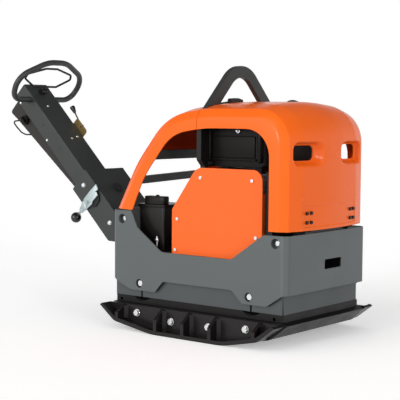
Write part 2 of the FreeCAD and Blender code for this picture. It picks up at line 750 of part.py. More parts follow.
def make_belt_plates():
    """Four plates round the top of the base; the side ones have a slot below each isolator bolt."""
    half = s.belt_width / 2
    inner = half - s.belt_thickness
    plates = body("belt_plates")
    for side in (-1, 1):
        pad(plates, "XZ", *ordered(side * inner, side * half),
            box_outline(-s.belt_rear, s.box_top, s.belt_front, s.belt_top))
    for x in (-s.isolator_rear, s.isolator_front):
        pocket(plates, "XZ", -half, half, Circle(x, s.isolator_height, s.bolt_hole))
        pocket(plates, "XZ", -half, half,
               box_outline(x - s.bolt_slot / 2, s.box_top, x + s.bolt_slot / 2, s.isolator_height))
    pocket(plates, "XZ", -half, half,
           box_outline(-s.belt_rear, s.belt_end_top, s.frame_bend + 12 - s.belt_rear, s.belt_top))
    end = inner - s.seat_gap
    for sign, face, top in ((1, s.belt_front, s.belt_top), (-1, s.belt_rear, s.belt_end_top)):
        back = face - s.belt_thickness
        pad(plates, "XZ", -end, end, [
            (sign * back, s.box_top), (sign * (face + s.belt_lean), s.box_top),
            (sign * face, top), (sign * back, top),
        ])


def make_base_bolts():
    """M16 bolts of the base: extension plates, isolators and exciter feet."""
    solids = []
    flange = (s.base_width / 2 + s.extension_floor).value
    face = (s.belt_width / 2).value
    for side in (-1, 1):
        for x, z in extension_bolt_places():
            solids += hexagon_bolt((x.value, side * flange, z.value), (0, side, 0),
                                   s.extension_floor.value + 1.4 * s.tub_wall.value, M16)
    for x, side in isolators:
        solids += hexagon_bolt((x.value, side * face, s.isolator_height.value), (0, side, 0),
                               (s.belt_thickness + s.lug_thickness).value, M16)
    for x, y in exciter_bolt_places():
        solids += hexagon_bolt((x, y, (s.exciter_height - housing_radius + s.foot_height).value),
                               (0, 0, 1), s.foot_height.value, M16, washer=False)
    group("base_bolts", solids)


# ---- exciter: two geared eccentric shafts --------------------------------------------------------

pitch_radius = s.gear_module * s.gear_teeth / 2
tip_radius = pitch_radius + s.gear_module
bore_radius = tip_radius + s.gear_clearance
housing_radius = bore_radius + s.housing_wall
foot_span = pitch_radius + housing_radius + s.foot_reach
shafts = (s.exciter_centre - pitch_radius, s.exciter_centre + pitch_radius)


def exciter_bolt_places():
    away = (foot_span - s.foot_reach / 2).value
    along = (s.housing_half - s.foot_reach / 2).value
    middle = s.exciter_centre.value
    return [(middle + end * away, side * along) for end in (-1, 1) for side in (-1, 1)]


def housing_outlines(radius):
    rear, front = shafts
    return [
        [Circle(rear, s.exciter_height, radius)],
        [Circle(front, s.exciter_height, radius)],
        [box_outline(rear, s.exciter_height - radius, front, s.exciter_height + radius)],
    ]


def make_exciter_housing():
    housing = body("exciter_housing")
    half = s.housing_half
    for outlines in housing_outlines(housing_radius):
        pad(housing, "XZ", -half, half, *outlines)
    low = s.exciter_height - housing_radius
    for side in (-1, 1):
        pad(housing, "XZ", *ordered(side * (half - s.foot_reach), side * half),
            box_outline(s.exciter_centre - foot_span, low, s.exciter_centre + foot_span, low + s.foot_height))
    rear, front = shafts
    for x in (rear, front):
        pocket(housing, "XZ", -half, half, Circle(x, s.exciter_height, bore_radius))
    feet = [Circle(x, y, s.bolt_radius) for x, y in exciter_bolt_places()]
    pocket(housing, "XY", low, low + s.foot_height, *feet)


def make_exciter_covers():
    """End covers: each holds one bearing of each shaft; the right one lets the drive shaft out."""
    half = s.housing_half
    covers = body("exciter_covers")
    for side in (-1, 1):
        for outlines in housing_outlines(housing_radius):
            pad(covers, "XZ", *ordered(side * half, side * (half + s.cover_thickness)), *outlines)
    seat = half + s.bearing_width
    pocket(covers, "XZ", -seat, seat, *[Circle(x, s.exciter_height, s.bearing_radius) for x in shafts])
    pocket(covers, "XZ", -half - s.cover_thickness, -half,
           Circle(shafts[0], s.exciter_height, 1.1 * s.journal_radius))


def make_bearings():
    """Four roller bearings as plain rings in the covers."""
    inner = (s.journal_radius + s.running_fit).value
    width = s.bearing_width.value
    solids = []
    for x in shafts:
        for start in (s.housing_half.value, -s.housing_half.value - width):
            foot = (x.value, start, s.exciter_height.value)
            top = (x.value, start + width, s.exciter_height.value)
            solids.append(rod(s.bearing_radius.value, foot, top).cut(rod(inner, foot, top)))
    group("exciter_bearings", solids)


def make_eccentric_shaft(name, x, right_end):
    """Stepped shaft with a half-round mass that hangs down at rest."""
    shaft = body(name)
    place(shaft, x, 0, s.exciter_height)
    left_end = s.housing_half + s.bearing_width - 2
    shoulder = s.housing_half - 5
    turn(shaft, [
        (-right_end, 0), (left_end, 0), (left_end, s.journal_radius), (shoulder, s.journal_radius),
        (shoulder, s.shaft_radius), (-shoulder, s.shaft_radius), (-shoulder, s.journal_radius),
        (-right_end, s.journal_radius),
    ])
    reach = pitch_radius - s.gear_clearance
    pad(shaft, "XZ", -(shoulder - 20), gear_start() - 10, [
        (-reach, 0), (-reach, -reach, reach - 1), (reach, -reach, reach - 1), (reach, 0),
    ])


def gear_start():
    return s.housing_half - s.gear_width - 15


def gear_face(turned):
    """Involute spur gear outline, turned by an angle in radians, with a round bore."""
    teeth, module = int(round(s.gear_teeth.value)), s.gear_module.value
    pitch = pitch_radius.value
    pressure = math.radians(20)
    base, root, outer = pitch * math.cos(pressure), pitch - 1.25 * module, tip_radius.value

    def lag(radius):
        """Involute angle at a radius."""
        slope = math.acos(min(1.0, base / radius))
        return math.tan(slope) - slope

    half_tooth = math.pi / (2 * teeth) - s.gear_backlash.value / (2 * pitch) + lag(pitch)
    rings = [root] + [base + (outer - base) * share for share in (0.0, 0.2, 0.45, 0.7, 1.0)]
    flank = [(radius, half_tooth - lag(max(radius, base))) for radius in rings]
    points = []
    for tooth in range(teeth):
        middle = turned + 2 * math.pi * tooth / teeth
        for radius, angle in [(r, -a) for r, a in flank] + [(r, a) for r, a in reversed(flank)]:
            points.append(Vector(radius * math.cos(middle + angle), 0, radius * math.sin(middle + angle)))
    wheel = Part.Face(Part.makePolygon(points + points[:1]))
    return wheel.cut(Part.Face(Part.Wire(Part.makeCircle(s.shaft_radius.value, Vector(), Vector(0, 1, 0)))))


def make_gear(name, x, turned):
    gear = doc.addObject("Part::Feature", name)
    gear.Shape = gear_face(turned).extrude(Vector(0, s.gear_width.value, 0))
    gear.Label = name
    place(gear, x, gear_start(), s.exciter_height)
    nodes.append(gear)


# ---- belt drive ----------------------------------------------------------------------------------


def make_pulley(name, x, z, radius, bore):
    """Grooved pulley on a shaft along Y; its groove takes the V-belt."""
    wheel = body(name)
    place(wheel, x, -s.belt_centre, z)
    edge, mouth, floor = s.pulley_width / 2, s.vbelt_width / 2 + 1, s.vbelt_width / 2 - 2
    deep = radius - s.vbelt_height - 1
    turn(wheel, [
        (-edge, bore), (edge, bore), (edge, radius), (mouth, radius),
        (floor, deep), (-floor, deep), (-mouth, radius), (-edge, radius),
    ])


def belt_loop(inset):
    """Line round both pulleys, a given depth inside their rims."""
    low = Vector(shafts[0].value, 0, s.exciter_height.value)
    high = Vector(s.crank_forward.value, 0, s.crank_height.value)
    small = s.exciter_pulley_radius.value - inset
    large = s.clutch_radius.value - inset
    along = high - low
    lean = math.asin((large - small) / along.Length)
    heading = math.atan2(along.z, along.x)

    def point(centre, radius, angle):
        return centre + Vector(radius * math.cos(angle), 0, radius * math.sin(angle))

    left, right = heading + math.pi / 2 + lean, heading - math.pi / 2 - lean
    return Part.Wire([
        Part.LineSegment(point(low, small, left), point(high, large, left)).toShape(),
        Part.Arc(point(high, large, left), point(high, large, heading), point(high, large, right)).toShape(),
        Part.LineSegment(point(high, large, right), point(low, small, right)).toShape(),
        Part.Arc(point(low, small, right), point(low, small, heading + math.pi),
                 point(low, small, left)).toShape(),
    ])


def make_drive_belt():
    """V-belt: a band of even height round both pulleys, clear of the grooves' floors and flanks."""
    width = (s.vbelt_width - 6).value
    ring = Part.Face(belt_loop(0.5)).cut(Part.Face(belt_loop(0.5 + s.vbelt_height.value)))
    belt = doc.addObject("Part::Feature", "drive_belt")
    belt.Shape = ring.extrude(Vector(0, width, 0))
    belt.Label = "drive_belt"
    place(belt, 0, -s.belt_centre - width / 2, 0)
    nodes.append(belt)


def make_isolators():
    """Rubber blocks between the base's lugs and the deck's consoles."""
    outer = (s.belt_width / 2 - s.belt_thickness - s.lug_thickness).value
    inner = outer - s.isolator_length.value
    level = s.isolator_height.value
    group("rubber_isolators", [
        rod(s.isolator_radius.value, (x.value, side * inner, level), (x.value, side * outer, level))
        for x, side in isolators
    ])


# ---- upper mass: frame, deck and engine ----------------------------------------------------------


def frame_outline():
    """Side view of the frame: low over the isolators, cut away at the sides, with horns behind."""
    rear, front = -s.isolator_rear, s.isolator_front
    return [
        (-s.frame_rear, s.skirt_high),
        (rear - 117, s.skirt_high - 20, 12),
        (rear - 50, s.skirt_low, 14),
        (rear + 84, s.skirt_low, 14),
        (rear + 128, s.skirt_high, 14),
        (front - 82, s.skirt_high, 14),
        (front - 32, s.skirt_low, 14),
        (front + 84, s.skirt_low, 14),
        (front + 158, s.skirt_high, 10),
        (s.frame_front, s.skirt_high),
        (s.frame_front, s.nose_top),
        (front + 70, s.nose_top, 40),
        (front - 85, s.saddle, 30),
        (rear + 120, s.saddle, 40),
        (rear - 12, s.saddle + 93, 30),
        (rear - 45, s.horn_top, 14),
        (-s.frame_rear, s.horn_top),
    ]


def ring_outline(inset, radius):
    """Plan view of the frame's ring, at a distance inside its outer face."""
    half = s.frame_width / 2 - inset
    return box_outline(inset - s.frame_rear, -half, s.frame_front - inset, half, radius)


horn_holes = [
    (-s.horn_hole_rear, s.horn_hole_rear_height),
    (s.horn_hole_front, s.horn_hole_front_height),
]


def make_upper_frame():
    frame = body("upper_frame")
    half = s.frame_width / 2
    pad(frame, "XZ", -half, half, frame_outline())
    margin = box_outline(-s.frame_rear - 10, -half - 10, s.frame_front + 10, half + 10)
    pocket(frame, "XY", s.skirt_low, s.horn_top, margin, ring_outline(0, s.frame_bend))
    pocket(frame, "XY", s.skirt_low, s.horn_top,
           ring_outline(s.frame_wall, s.frame_bend - s.frame_wall))
    access = [Circle(x, s.isolator_height, s.access_radius) for x in (-s.isolator_rear, s.isolator_front)]
    horns = [Circle(x, z, s.horn_hole_radius) for x, z in horn_holes]
    pocket(frame, "XZ", -half, half, *access, *horns)
    pocket(frame, "YZ", s.frame_front - s.frame_wall, s.frame_front,
           box_outline(-s.nose_slot_right, s.nose_slot_low, s.nose_slot_left,
                       s.nose_slot_low + s.nose_slot_height, 6))


def make_deck():
    """Engine deck: fits inside the frame, with an opening for the belt and four consoles below."""
    deck = body("engine_deck")
    low = s.deck_top - s.deck_thickness
    pad(deck, "XY", low, s.deck_top, ring_outline(s.frame_wall, s.frame_bend - s.frame_wall))
    outer = s.belt_width / 2 - s.belt_thickness - s.lug_thickness - s.isolator_length
    for x, side in isolators:
        pad(deck, "XY", s.isolator_height - s.isolator_radius, low,
            box_outline(x - s.lug_half, side * (outer - s.console_wall), x + s.lug_half, side * outer))
    gap = s.belt_opening
    rear = shafts[0] - s.exciter_pulley_radius + 18
    pocket(deck, "XY", low, s.deck_top,
           box_outline(rear, -s.belt_centre - gap / 2, s.crank_forward + s.clutch_radius,
                       gap / 2 - s.belt_centre, 8))


def make_engine():
    """Single-cylinder engine: crankcase, finned barrel and head, fan housing and the parts on it."""
    case = body("engine_block")
    rear, front, half = s.engine_rear, s.engine_front, s.engine_half
    pad(case, "XZ", -half, half, [
        (rear, s.deck_top), (front, s.deck_top), (front, s.engine_shoulder, 40),
        (rear, s.engine_shoulder, 60),
    ])
    barrel = s.barrel_half
    middle = (rear + front) / 2
    pad(case, "XY", s.engine_shoulder, s.engine_top,
        box_outline(middle - barrel, -barrel, middle + barrel, barrel, 20))
    pitch = s.fin_pitch
    for number in range(9):
        level = s.engine_shoulder + 12 + number * pitch
        pad(case, "XY", level, level + s.fin_thickness,
            box_outline(middle - barrel - s.fin_reach, -barrel - s.fin_reach,
                        middle + barrel + s.fin_reach, barrel + s.fin_reach, 24))
    stub = Circle(s.crank_forward, s.crank_height, s.crank_radius)
    pad(case, "XZ", -s.belt_centre - s.pulley_width / 2, -half + 1, stub)
    post = Circle(*GUARD_POST, 11)
    pad(case, "XZ", s.guard_wall - s.guard_side, -half + 1, post)

    fan = body("fan_housing")
    place(fan, s.crank_forward, 0, s.crank_height)
    turn(fan, [
        (half, 0), (half + s.fan_depth, 0), (half + s.fan_depth, s.fan_radius - 30),
        (half + s.fan_depth - 18, s.fan_radius), (half, s.fan_radius),
    ])

    shroud = body("engine_shroud")
    pad(shroud, "XZ", -s.shroud_right, -s.shroud_left, [
        (s.shroud_rear, s.deck_top), (s.shroud_front, s.deck_top), (s.shroud_front, s.shroud_top, 16),
        (s.shroud_rear, s.shroud_top, 8),
    ])

    head = (s.engine_top - 20).value
    reach = (middle + barrel + s.fin_reach).value
    radius = s.muffler_radius.value
    centre = reach + 25 + radius
    ends = (-40, 180)
    can = rod(radius, (centre, ends[0], head - radius), (centre, ends[1], head - radius))
    pipe = rod(16, (reach + s.seat_gap.value, 20, head - radius), (centre, 20, head - radius))
    tail = rod(12, (centre, 140, head - radius), (centre + radius + 22, 140, head - radius - 12))
    group("muffler", [can.fuse([pipe, tail]).removeSplitter()])

    starter = s.starter_radius.value
    level = (s.deck_top + 70).value
    back = rear.value - starter - s.seat_gap.value
    motor = rod(starter, (back, 10, level), (back, 150, level))
    solenoid = rod(20, (back + 6, 25, level + starter + 12), (back + 6, 110, level + starter + 12))
    group("starter_motor", [motor.fuse(solenoid).removeSplitter()])

    filter_level = (s.deck_top + 90).value
    seat = front.value + s.seat_gap.value
    can = rod(36, (seat + 8, 60, filter_level), (seat + 86, 60, filter_level))
    neck = rod(28, (seat, 60, filter_level), (seat + 8, 60, filter_level))
    group("oil_filter", [can.fuse(neck).removeSplitter()])

    cleaner = 56
    side = (barrel + s.fin_reach).value + cleaner + 4 + s.seat_gap.value
    level = (s.engine_top - 75).value
    first = middle.value - 85
    drum = rod(cleaner, (first, side, level), (first + 150, side, level))
    lid = rod(cleaner + 4, (first + 150, side, level), (first + 172, side, level))
    group("air_filter", [drum.fuse(lid).removeSplitter()])


def make_tank():
    tank = body("fuel_tank")
    low, high = s.tank_low, s.tank_low + s.tank_height
    right, left = -s.tank_right, s.tank_left
    pad(tank, "XY", low, high, box_outline(-s.tank_rear, right, s.tank_front, left, s.tank_corner))
    soften(tank, s.tank_edge, lambda edge: abs(edge.BoundBox.ZMin - high.value) < 0.1)
    soften(tank, s.tank_under_edge, lambda edge: abs(edge.BoundBox.ZMax - low.value) < 0.1)
    pocket(tank, "XZ", right, right + s.tank_recess,
           box_outline(s.tank_recess_rear, low, s.tank_front - s.tank_recess, low + 32))
    pad(tank, "XY", high - 5, high + s.neck_height,
        Circle(s.neck_forward, s.neck_side, s.neck_radius))

    carrier = body("tank_carrier")
    for x in (0.18, 0.74):
        middle = s.tank_front * x + 10
        pad(carrier, "XY", s.engine_top, low,
            box_outline(middle - 16, right + 30, middle + 16, left - 30))
    pad(carrier, "XY", s.engine_top, s.engine_top + 6,
        box_outline(s.tank_front * 0.18, -40, s.tank_front * 0.74, 40))

    cap = body("fuel_cap")
    place(cap, s.neck_forward, s.neck_side, high + s.neck_height)
    skirt = s.neck_radius + s.seat_gap
    pad(cap, "XY", 4 - s.neck_height, 10, Circle(0, 0, s.cap_radius))
    pocket(cap, "XY", 4 - s.neck_height, 0, Circle(0, 0, skirt))


def guard_outline(inset=0):
    """Side view of the belt guard: level top, long slope down to the rear edge."""
    return [
        (s.guard_rear + inset, s.deck_top),
        (s.guard_front - inset, s.deck_top),
        (s.guard_front - inset, s.guard_top - inset, 45),
        (s.guard_brow + 0.4 * inset, s.guard_top - inset, 60),
        (s.guard_rear + inset, s.guard_elbow - 0.6 * inset, 20),
    ]


GUARD_POST = (281, 417)
guard_screws = [(5, 640), (261, 638), GUARD_POST, (-114, 468), (-124, 341)]


def make_guard():
    """Belt guard: pressed plate with a rim turned in towards the engine, open at the top."""
    guard = body("belt_guard")
    face = -s.guard_side
    pad(guard, "XZ", face, face + s.guard_depth, guard_outline())
    pocket(guard, "XZ", face + s.guard_wall, face + s.guard_depth, guard_outline(s.guard_rim))
    pocket(guard, "XZ", face + s.guard_wall, face + s.guard_depth,
           box_outline(s.guard_rear, s.guard_top - 90, s.guard_front, s.guard_top + 10))
    screws = [Circle(x, z, s.small_bolt_radius + s.seat_gap) for x, z in guard_screws]
    pocket(guard, "XZ", face, face + s.guard_wall, *screws)


def make_battery():
    battery = body("battery")
    right, left = -s.battery_right, -s.battery_left
    low, high = s.battery_low, s.battery_top
    pad(battery, "XZ", right, left, [
        (-s.battery_rear, low), (-s.battery_front, low),
        (-s.battery_front - 5, high, 8), (38 - s.battery_rear, high, 8),
    ])
    lid = body("battery_cover")
    pad(lid, "XY", high + s.seat_gap, high + s.lid_height,
        box_outline(36 - s.battery_rear, right - 2, -s.battery_front - 3, left + 2, 12))
    tray = body("battery_tray")
    pad(tray, "XY", s.deck_top, low + 26,
        box_outline(-s.battery_rear - 9, right - 6, 9 - s.battery_front, left + 6))
    pocket(tray, "XY", low, low + 26,
           box_outline(-s.battery_rear - 1, right - 1, 1 - s.battery_front, left + 1))
    pocket(tray, "XY", s.deck_top, low - 6,
           box_outline(-s.battery_rear - 3, right, 3 - s.battery_front, left))


# ---- covers, hood and lifting hoop ---------------------------------------------------------------


def crown_line():
    """Middle line of the moulded band: up the front, over the roof and down behind."""
    slope = (s.cover_heel - s.cover_elbow) / (s.cover_elbow_height - s.cover_bottom)
    spare = 25
    return [
        (s.hood_front, s.hood_bottom),
        (s.hood_front, s.hood_top, s.hood_nose_bend),
        (s.roof_break, s.hood_top, s.roof_bend),
        (-s.cover_brow, s.cover_brow_height, s.brow_bend),
        (-s.cover_elbow, s.cover_elbow_height, s.elbow_bend),
        (-s.cover_heel - slope * spare, s.cover_bottom - spare),
    ]


def crown_peak():
    """How far the sharp point of the crown's bend lies outside the band."""
    return 0.3 * s.hood_crown


def crown_fall():
    """How far the band falls from its middle to the sharp point of its shoulders."""
    return s.hood_crown + 3


def crown_bend():
    """Radius across the roof's middle that rounds its peak down to the roof's height."""
    slope = (crown_peak() + crown_fall()) / (s.hood_width / 2)
    square = slope * slope
    return crown_peak() * 2 / (square * (1 - square / 4))


def band_section():
    """Cross-section of the band, drawn level at the foot of the hood: a wide shallow channel."""
    half, wall, fall = s.hood_width / 2, s.hood_wall, crown_fall()
    front, peak = s.hood_front, crown_peak()
    outside = [
        (front - s.band_depth, -half),
        (front - fall, -half, s.shoulder),
        (front + peak, 0, crown_bend()),
        (front - fall, half, s.shoulder),
        (front - s.band_depth, half),
    ]
    inside = [
        (front - s.band_depth, half - wall),
        (front - fall - wall, half - wall, s.shoulder - wall),
        (front + peak - wall, 0, crown_bend() - wall),
        (front - fall - wall, wall - half, s.shoulder - wall),
        (front - s.band_depth, wall - half),
    ]
    return outside + inside


def skin(y):
    """How far forward the hood's outer skin lies at a distance from its middle."""
    fall = (crown_peak() + crown_fall()) / (s.hood_width / 2)
    return s.hood_front + crown_peak() - y * fall


def hood_band(name):
    """The whole band, before it is cut at the seam."""
    shell = body(name)
    sweep(shell, "XY", s.hood_bottom, band_section(), "XZ", 0, crown_line())
    return shell


def hoop_peaks():
    """Heights where the outer and the inner edges of the hoop's sloping arms would meet."""
    slope = s.hoop_slope
    outer = s.hoop_top + s.hoop_bend / cosine(slope) - s.hoop_bend
    return outer, outer - s.hoop_width / cosine(slope)


def hoop_notches(start, end, spare=0):
    """Plan view of the slots in the roof that let the hoop's arms through."""
    outer_peak, inner_peak = hoop_peaks()
    fall = s.hood_crown + s.hood_wall + s.hoop_gap
    slope = sine(s.hoop_slope) / cosine(s.hoop_slope)
    inner = (inner_peak - s.hood_top) / slope - s.hoop_gap - spare
    outer = (outer_peak - s.hood_top + fall) / slope + s.hoop_gap
    return [box_outline(start, side * inner, end, side * outer) for side in (-1, 1)]


def make_rear_cover():
    cover = hood_band("rear_cover")
    half = s.hood_width / 2
    edge = s.seam - s.seam_gap / 2
    pocket(cover, "XZ", -half, half,
           box_outline(edge, s.hood_bottom - 60, s.hood_front + 60, s.hood_top + 60))
    pocket(cover, "XZ", -half, half,
           box_outline(-s.cover_heel - 60, s.hood_bottom - 60, s.band_depth - s.cover_elbow,
                       s.cover_bottom))
    opening = half - s.arch_width
    pocket(cover, "YZ", -s.cover_heel - 60, 40 - s.cover_elbow,
           [(-opening, s.cover_bottom - 60), (opening, s.cover_bottom - 60),
            (opening, s.rear_panel_low, 18), (-opening, s.rear_panel_low, 18)])
    rear = s.seam + 1 - s.hoop_thickness / 2 - s.hoop_gap
    pocket(cover, "XY", s.hood_top - s.band_depth, s.hood_top, *hoop_notches(rear, s.seam + 1))


def make_hood():
    hood = hood_band("front_hood")
    half = s.hood_width / 2
    edge = s.seam + s.seam_gap / 2
    pocket(hood, "XZ", -half, half,
           box_outline(-s.cover_heel - 120, s.hood_bottom - 60, edge, s.hood_top + 60))
    wall = s.hood_wall
    edge_x, edge_z = s.hood_front - s.band_depth, s.hood_top - s.band_depth
    foot_x, foot_z = edge_x - s.window_bend - 5, edge_z - s.window_bend - 5
    for side in (-1, 1):
        pad(hood, "XZ", *ordered(side * (half - wall), side * half), [
            (foot_x, edge_z), (edge_x, edge_z, s.window_bend), (edge_x, foot_z),
            (edge_x + 2, foot_z), (edge_x + 2, edge_z + 2), (foot_x, edge_z + 2),
        ])
    low, high = s.eye_level - s.eye_height / 2, s.eye_level + s.eye_height / 2
    round_end = s.eye_height / 2 - 0.2
    for side in (-1, 1):
        start, end = side * s.scoop_end, side * s.eye_inner
        shallow, deep = skin(s.scoop_end), skin(s.eye_inner)
        pad(hood, "XY", low - wall, high + wall, [
            (shallow - 2, start - side * 8), (deep - 2, end), (deep - s.scoop_depth - wall, end),
            (shallow - wall, start - side * 8),
        ])
        pocket(hood, "XY", low, high, [
            (shallow + 0.5, start), (deep + 3, end), (deep - s.scoop_depth, end),
        ])
        pocket(hood, "YZ", s.hood_front - 40, s.hood_front + 10, [
            (end, low), (side * s.eye_outer, low, round_end), (side * s.eye_outer, high, round_end),
            (end, high),
        ])
    front = s.seam + 1 + s.hoop_thickness / 2 + s.hoop_gap
    pocket(hood, "XY", s.hood_top - s.band_depth, s.hood_top,
           *hoop_notches(s.seam + 1, front, s.hoop_thickness))


def roof_slope():
    return (s.hood_top - s.cover_brow_height) / (s.roof_break + s.cover_brow)


def roof_height(x):
    """Height of the crown line in the stretch where the roof levels out."""
    level = s.roof_break + s.roof_bend * roof_slope() / 2
    return s.hood_top - (level - x) * (level - x) / (2 * s.roof_bend)


def make_hood_fittings():
    """Hinges, screws, latch, its keeper and the plug of the hood."""
    axis_x, axis_z = s.hood_hinge_forward, s.hood_hinge_height
    pin = s.hood_pin_radius
    knuckle = s.knuckle_length
    sheet_wall = s.hinge_sheet
    mounts = body("hood_hinge_brackets")
    leaves = body("hood_hinge_leaves")
    inner = s.frame_front - s.frame_wall
    for side in (-1, 1):
        middle = side * s.hood_hinge_side
        first = ordered(middle - side * (knuckle + 1), middle - side)
        pad(mounts, "XZ", *first, Circle(axis_x, axis_z, s.hood_barrel))
        pad(mounts, "XZ", *first, [
            (inner - sheet_wall, s.nose_top - 40), (inner, s.nose_top - 40), (inner, s.nose_top + 1),
            (axis_x, s.nose_top + 1), (axis_x, axis_z + 2), (inner - sheet_wall, axis_z + 2),
        ])
        second = ordered(middle, middle + side * knuckle)
        pad(leaves, "XZ", *second, Circle(axis_x, axis_z, s.hood_barrel))
        pad(leaves, "XZ", *second,
            box_outline(axis_x - s.hood_barrel + 1, axis_z, axis_x - s.hood_barrel + 4, s.hood_bottom + 5))
        pad(leaves, "XZ", *ordered(middle - side * 16, middle + side * 24),
            box_outline(axis_x - s.hood_barrel + 1, s.hood_bottom + 1,
                        axis_x - s.hood_barrel + 4, s.screw_level + 32, 1))
    reach = s.hood_hinge_side + knuckle
    pad(mounts, "YZ", inner - sheet_wall, inner,
        box_outline(-reach, s.nose_top - 40, reach, s.hood_bottom + 14))
    pocket(mounts, "XZ", -reach, reach, Circle(axis_x, axis_z, pin + s.running_fit))
    for side in (-1, 1):
        end = side * (s.hood_hinge_side - knuckle - 3)
        pad(leaves, "XZ", *ordered(end, side * (s.hood_hinge_side + 1)), Circle(axis_x, axis_z, pin))

    screws = []
    for side in (-1, 1):
        for across in (-0.5, 0.5):
            for up in (-0.5, 0.5):
                y = side * s.hood_hinge_side + across * s.screw_pitch_across
                z = (s.screw_level + up * s.screw_pitch_up).value
                face = skin(abs(y.value)).value
                screws.append(rod(7, (face + 0.8, y.value, z), (face + 6, y.value, z)))
    group("hood_screws", screws)

    near = s.latch_side - s.latch_width / 2
    fall = near * near / (2 * crown_bend())
    strip = ordered(-near, -near - s.latch_width)
    latch = body("hood_latch")
    ends = [s.seam + 2, s.seam + 20, s.seam + 61]
    under = [(x, roof_height(x) - fall + s.seat_gap) for x in ends]
    pad(latch, "XZ", *strip, under + [
        (ends[2], roof_height(ends[2]) + 7), (s.seam + 38, roof_height(ends[1]) + 17, 6),
        (ends[0], roof_height(ends[1]) + 15, 8),
    ])
    keeper = body("latch_keeper")
    lift = s.seat_gap - fall
    tail = s.hood_top - (s.roof_break + s.keeper_rear) * roof_slope()
    stretch = [(s.seam - 2, roof_height(s.seam - 2)), (s.seam - 25, roof_height(s.seam - 25)),
               (s.seam - 45, roof_height(s.seam - 45)), (-s.keeper_rear, tail)]
    under = [(x, z + lift) for x, z in stretch]
    over = [(x, z + lift + s.keeper_thickness) for x, z in stretch]
    pad(keeper, "XZ", *strip, under + over[::-1])

    ball = 45
    rise = 7
    foot = s.hood_top.value
    centre = Vector(s.plug_forward.value, 0, foot + rise - ball)
    cap = Part.makeSphere(ball, centre).common(
        Part.makeBox(2 * ball, 2 * ball, rise, Vector(centre.x - ball, -ball, foot)))
    group("roof_plug", [cap])


def make_cover_fittings():
    """Brackets between frame and covers, and the two bars between the rear arches."""
    inside = s.hood_width / 2 - s.hood_wall
    wall = s.frame_width / 2 - s.frame_wall
    brackets = body("cover_brackets")
    for side in (-1, 1):
        lower = ordered(side * (wall - s.horn_cup - s.horn_seat), side * wall)
        upper = ordered(side * (inside - 5), side * inside)
        tab = 6 - s.cover_elbow
        pad(brackets, "XZ", *lower,
            box_outline(-s.horn_hole_rear - 26, s.horn_hole_rear_height - 30, tab, s.horn_top - 3))
        pad(brackets, "XZ", *upper,
            box_outline(tab - 20, s.horn_top - 4, tab, s.cover_bottom + 30))
        pad(brackets, "XZ", *lower,
            box_outline(s.horn_hole_front - 26, s.horn_hole_front_height - 26,
                        s.horn_hole_front + 26, s.horn_hole_front_height + 26))
    seat = wall - s.horn_cup
    cups = [Circle(x, z, s.horn_hole_radius) for x, z in horn_holes]
    for side in (-1, 1):
        pocket(brackets, "XZ", *ordered(side * seat, side * wall), *cups)
    holes = [Circle(x, z, s.frame_bolt_radius + s.seat_gap) for x, z in horn_holes]
    pocket(brackets, "XZ", -wall, wall, *holes)
    solids = []
    for x, z in horn_holes:
        for side in (-1, 1):
            solids += hexagon_bolt((x.value, side * seat.value, z.value), (0, side, 0),
                                   s.horn_seat.value, (18, 7, s.frame_bolt_radius.value), False)
    for x, z in guard_screws:
        solids += hexagon_bolt((x, -s.guard_side.value, z), (0, -1, 0), s.guard_wall.value,
                               (13, 5.5, s.small_bolt_radius.value), False)
    group("frame_bolts", solids)

    bar = body("rear_crossbar")
    end = inside - s.seat_gap
    pad(bar, "YZ", -s.crossbar_back - s.bar_half, s.bar_half - s.crossbar_back,
        box_outline(-end, s.crossbar_height - s.crossbar_half, end, s.crossbar_height + s.crossbar_half))
    brace = body("rear_brace")
    low_end, high_end = s.brace_height - s.brace_lift, s.brace_height + s.brace_lift
    pad(brace, "YZ", -s.brace_back - s.bar_half, s.bar_half - s.brace_back, [
        (-end, low_end - s.brace_half), (end, high_end - s.brace_half),
        (end, high_end + s.brace_half), (-end, low_end + s.brace_half),
    ])


def make_hoop():
    """Lifting hoop: a flat bar bent to a gable, its legs narrowed behind the belt guard."""
    hoop = body("lifting_hoop")
    middle = s.seam + 1
    outer, inner = s.hoop_foot + s.hoop_width / 2, s.hoop_foot - s.hoop_width / 2
    slope = s.hoop_slope
    peak, inner_peak = hoop_peaks()
    knee = peak - outer * sine(slope) / cosine(slope)
    inner_knee = inner_peak - inner * sine(slope) / cosine(slope)
    step = s.guard_top + 8
    foot = s.guard_side - s.guard_wall - s.seat_gap
    pad(hoop, "YZ", middle - s.hoop_thickness / 2, middle + s.hoop_thickness / 2, [
        (-foot, s.deck_top), (-foot, step), (-outer, step + 24), (-outer, knee, 40),
        (0, peak, s.hoop_bend), (outer, knee, 40), (outer, step + 24), (foot, step), (foot, s.deck_top),
        (inner, s.deck_top), (inner, inner_knee, 20), (0, inner_peak, s.hoop_bend - s.hoop_width),
        (-inner, inner_knee, 20), (-inner, s.deck_top),
    ])


# ---- drawbar handle ------------------------------------------------------------------------------


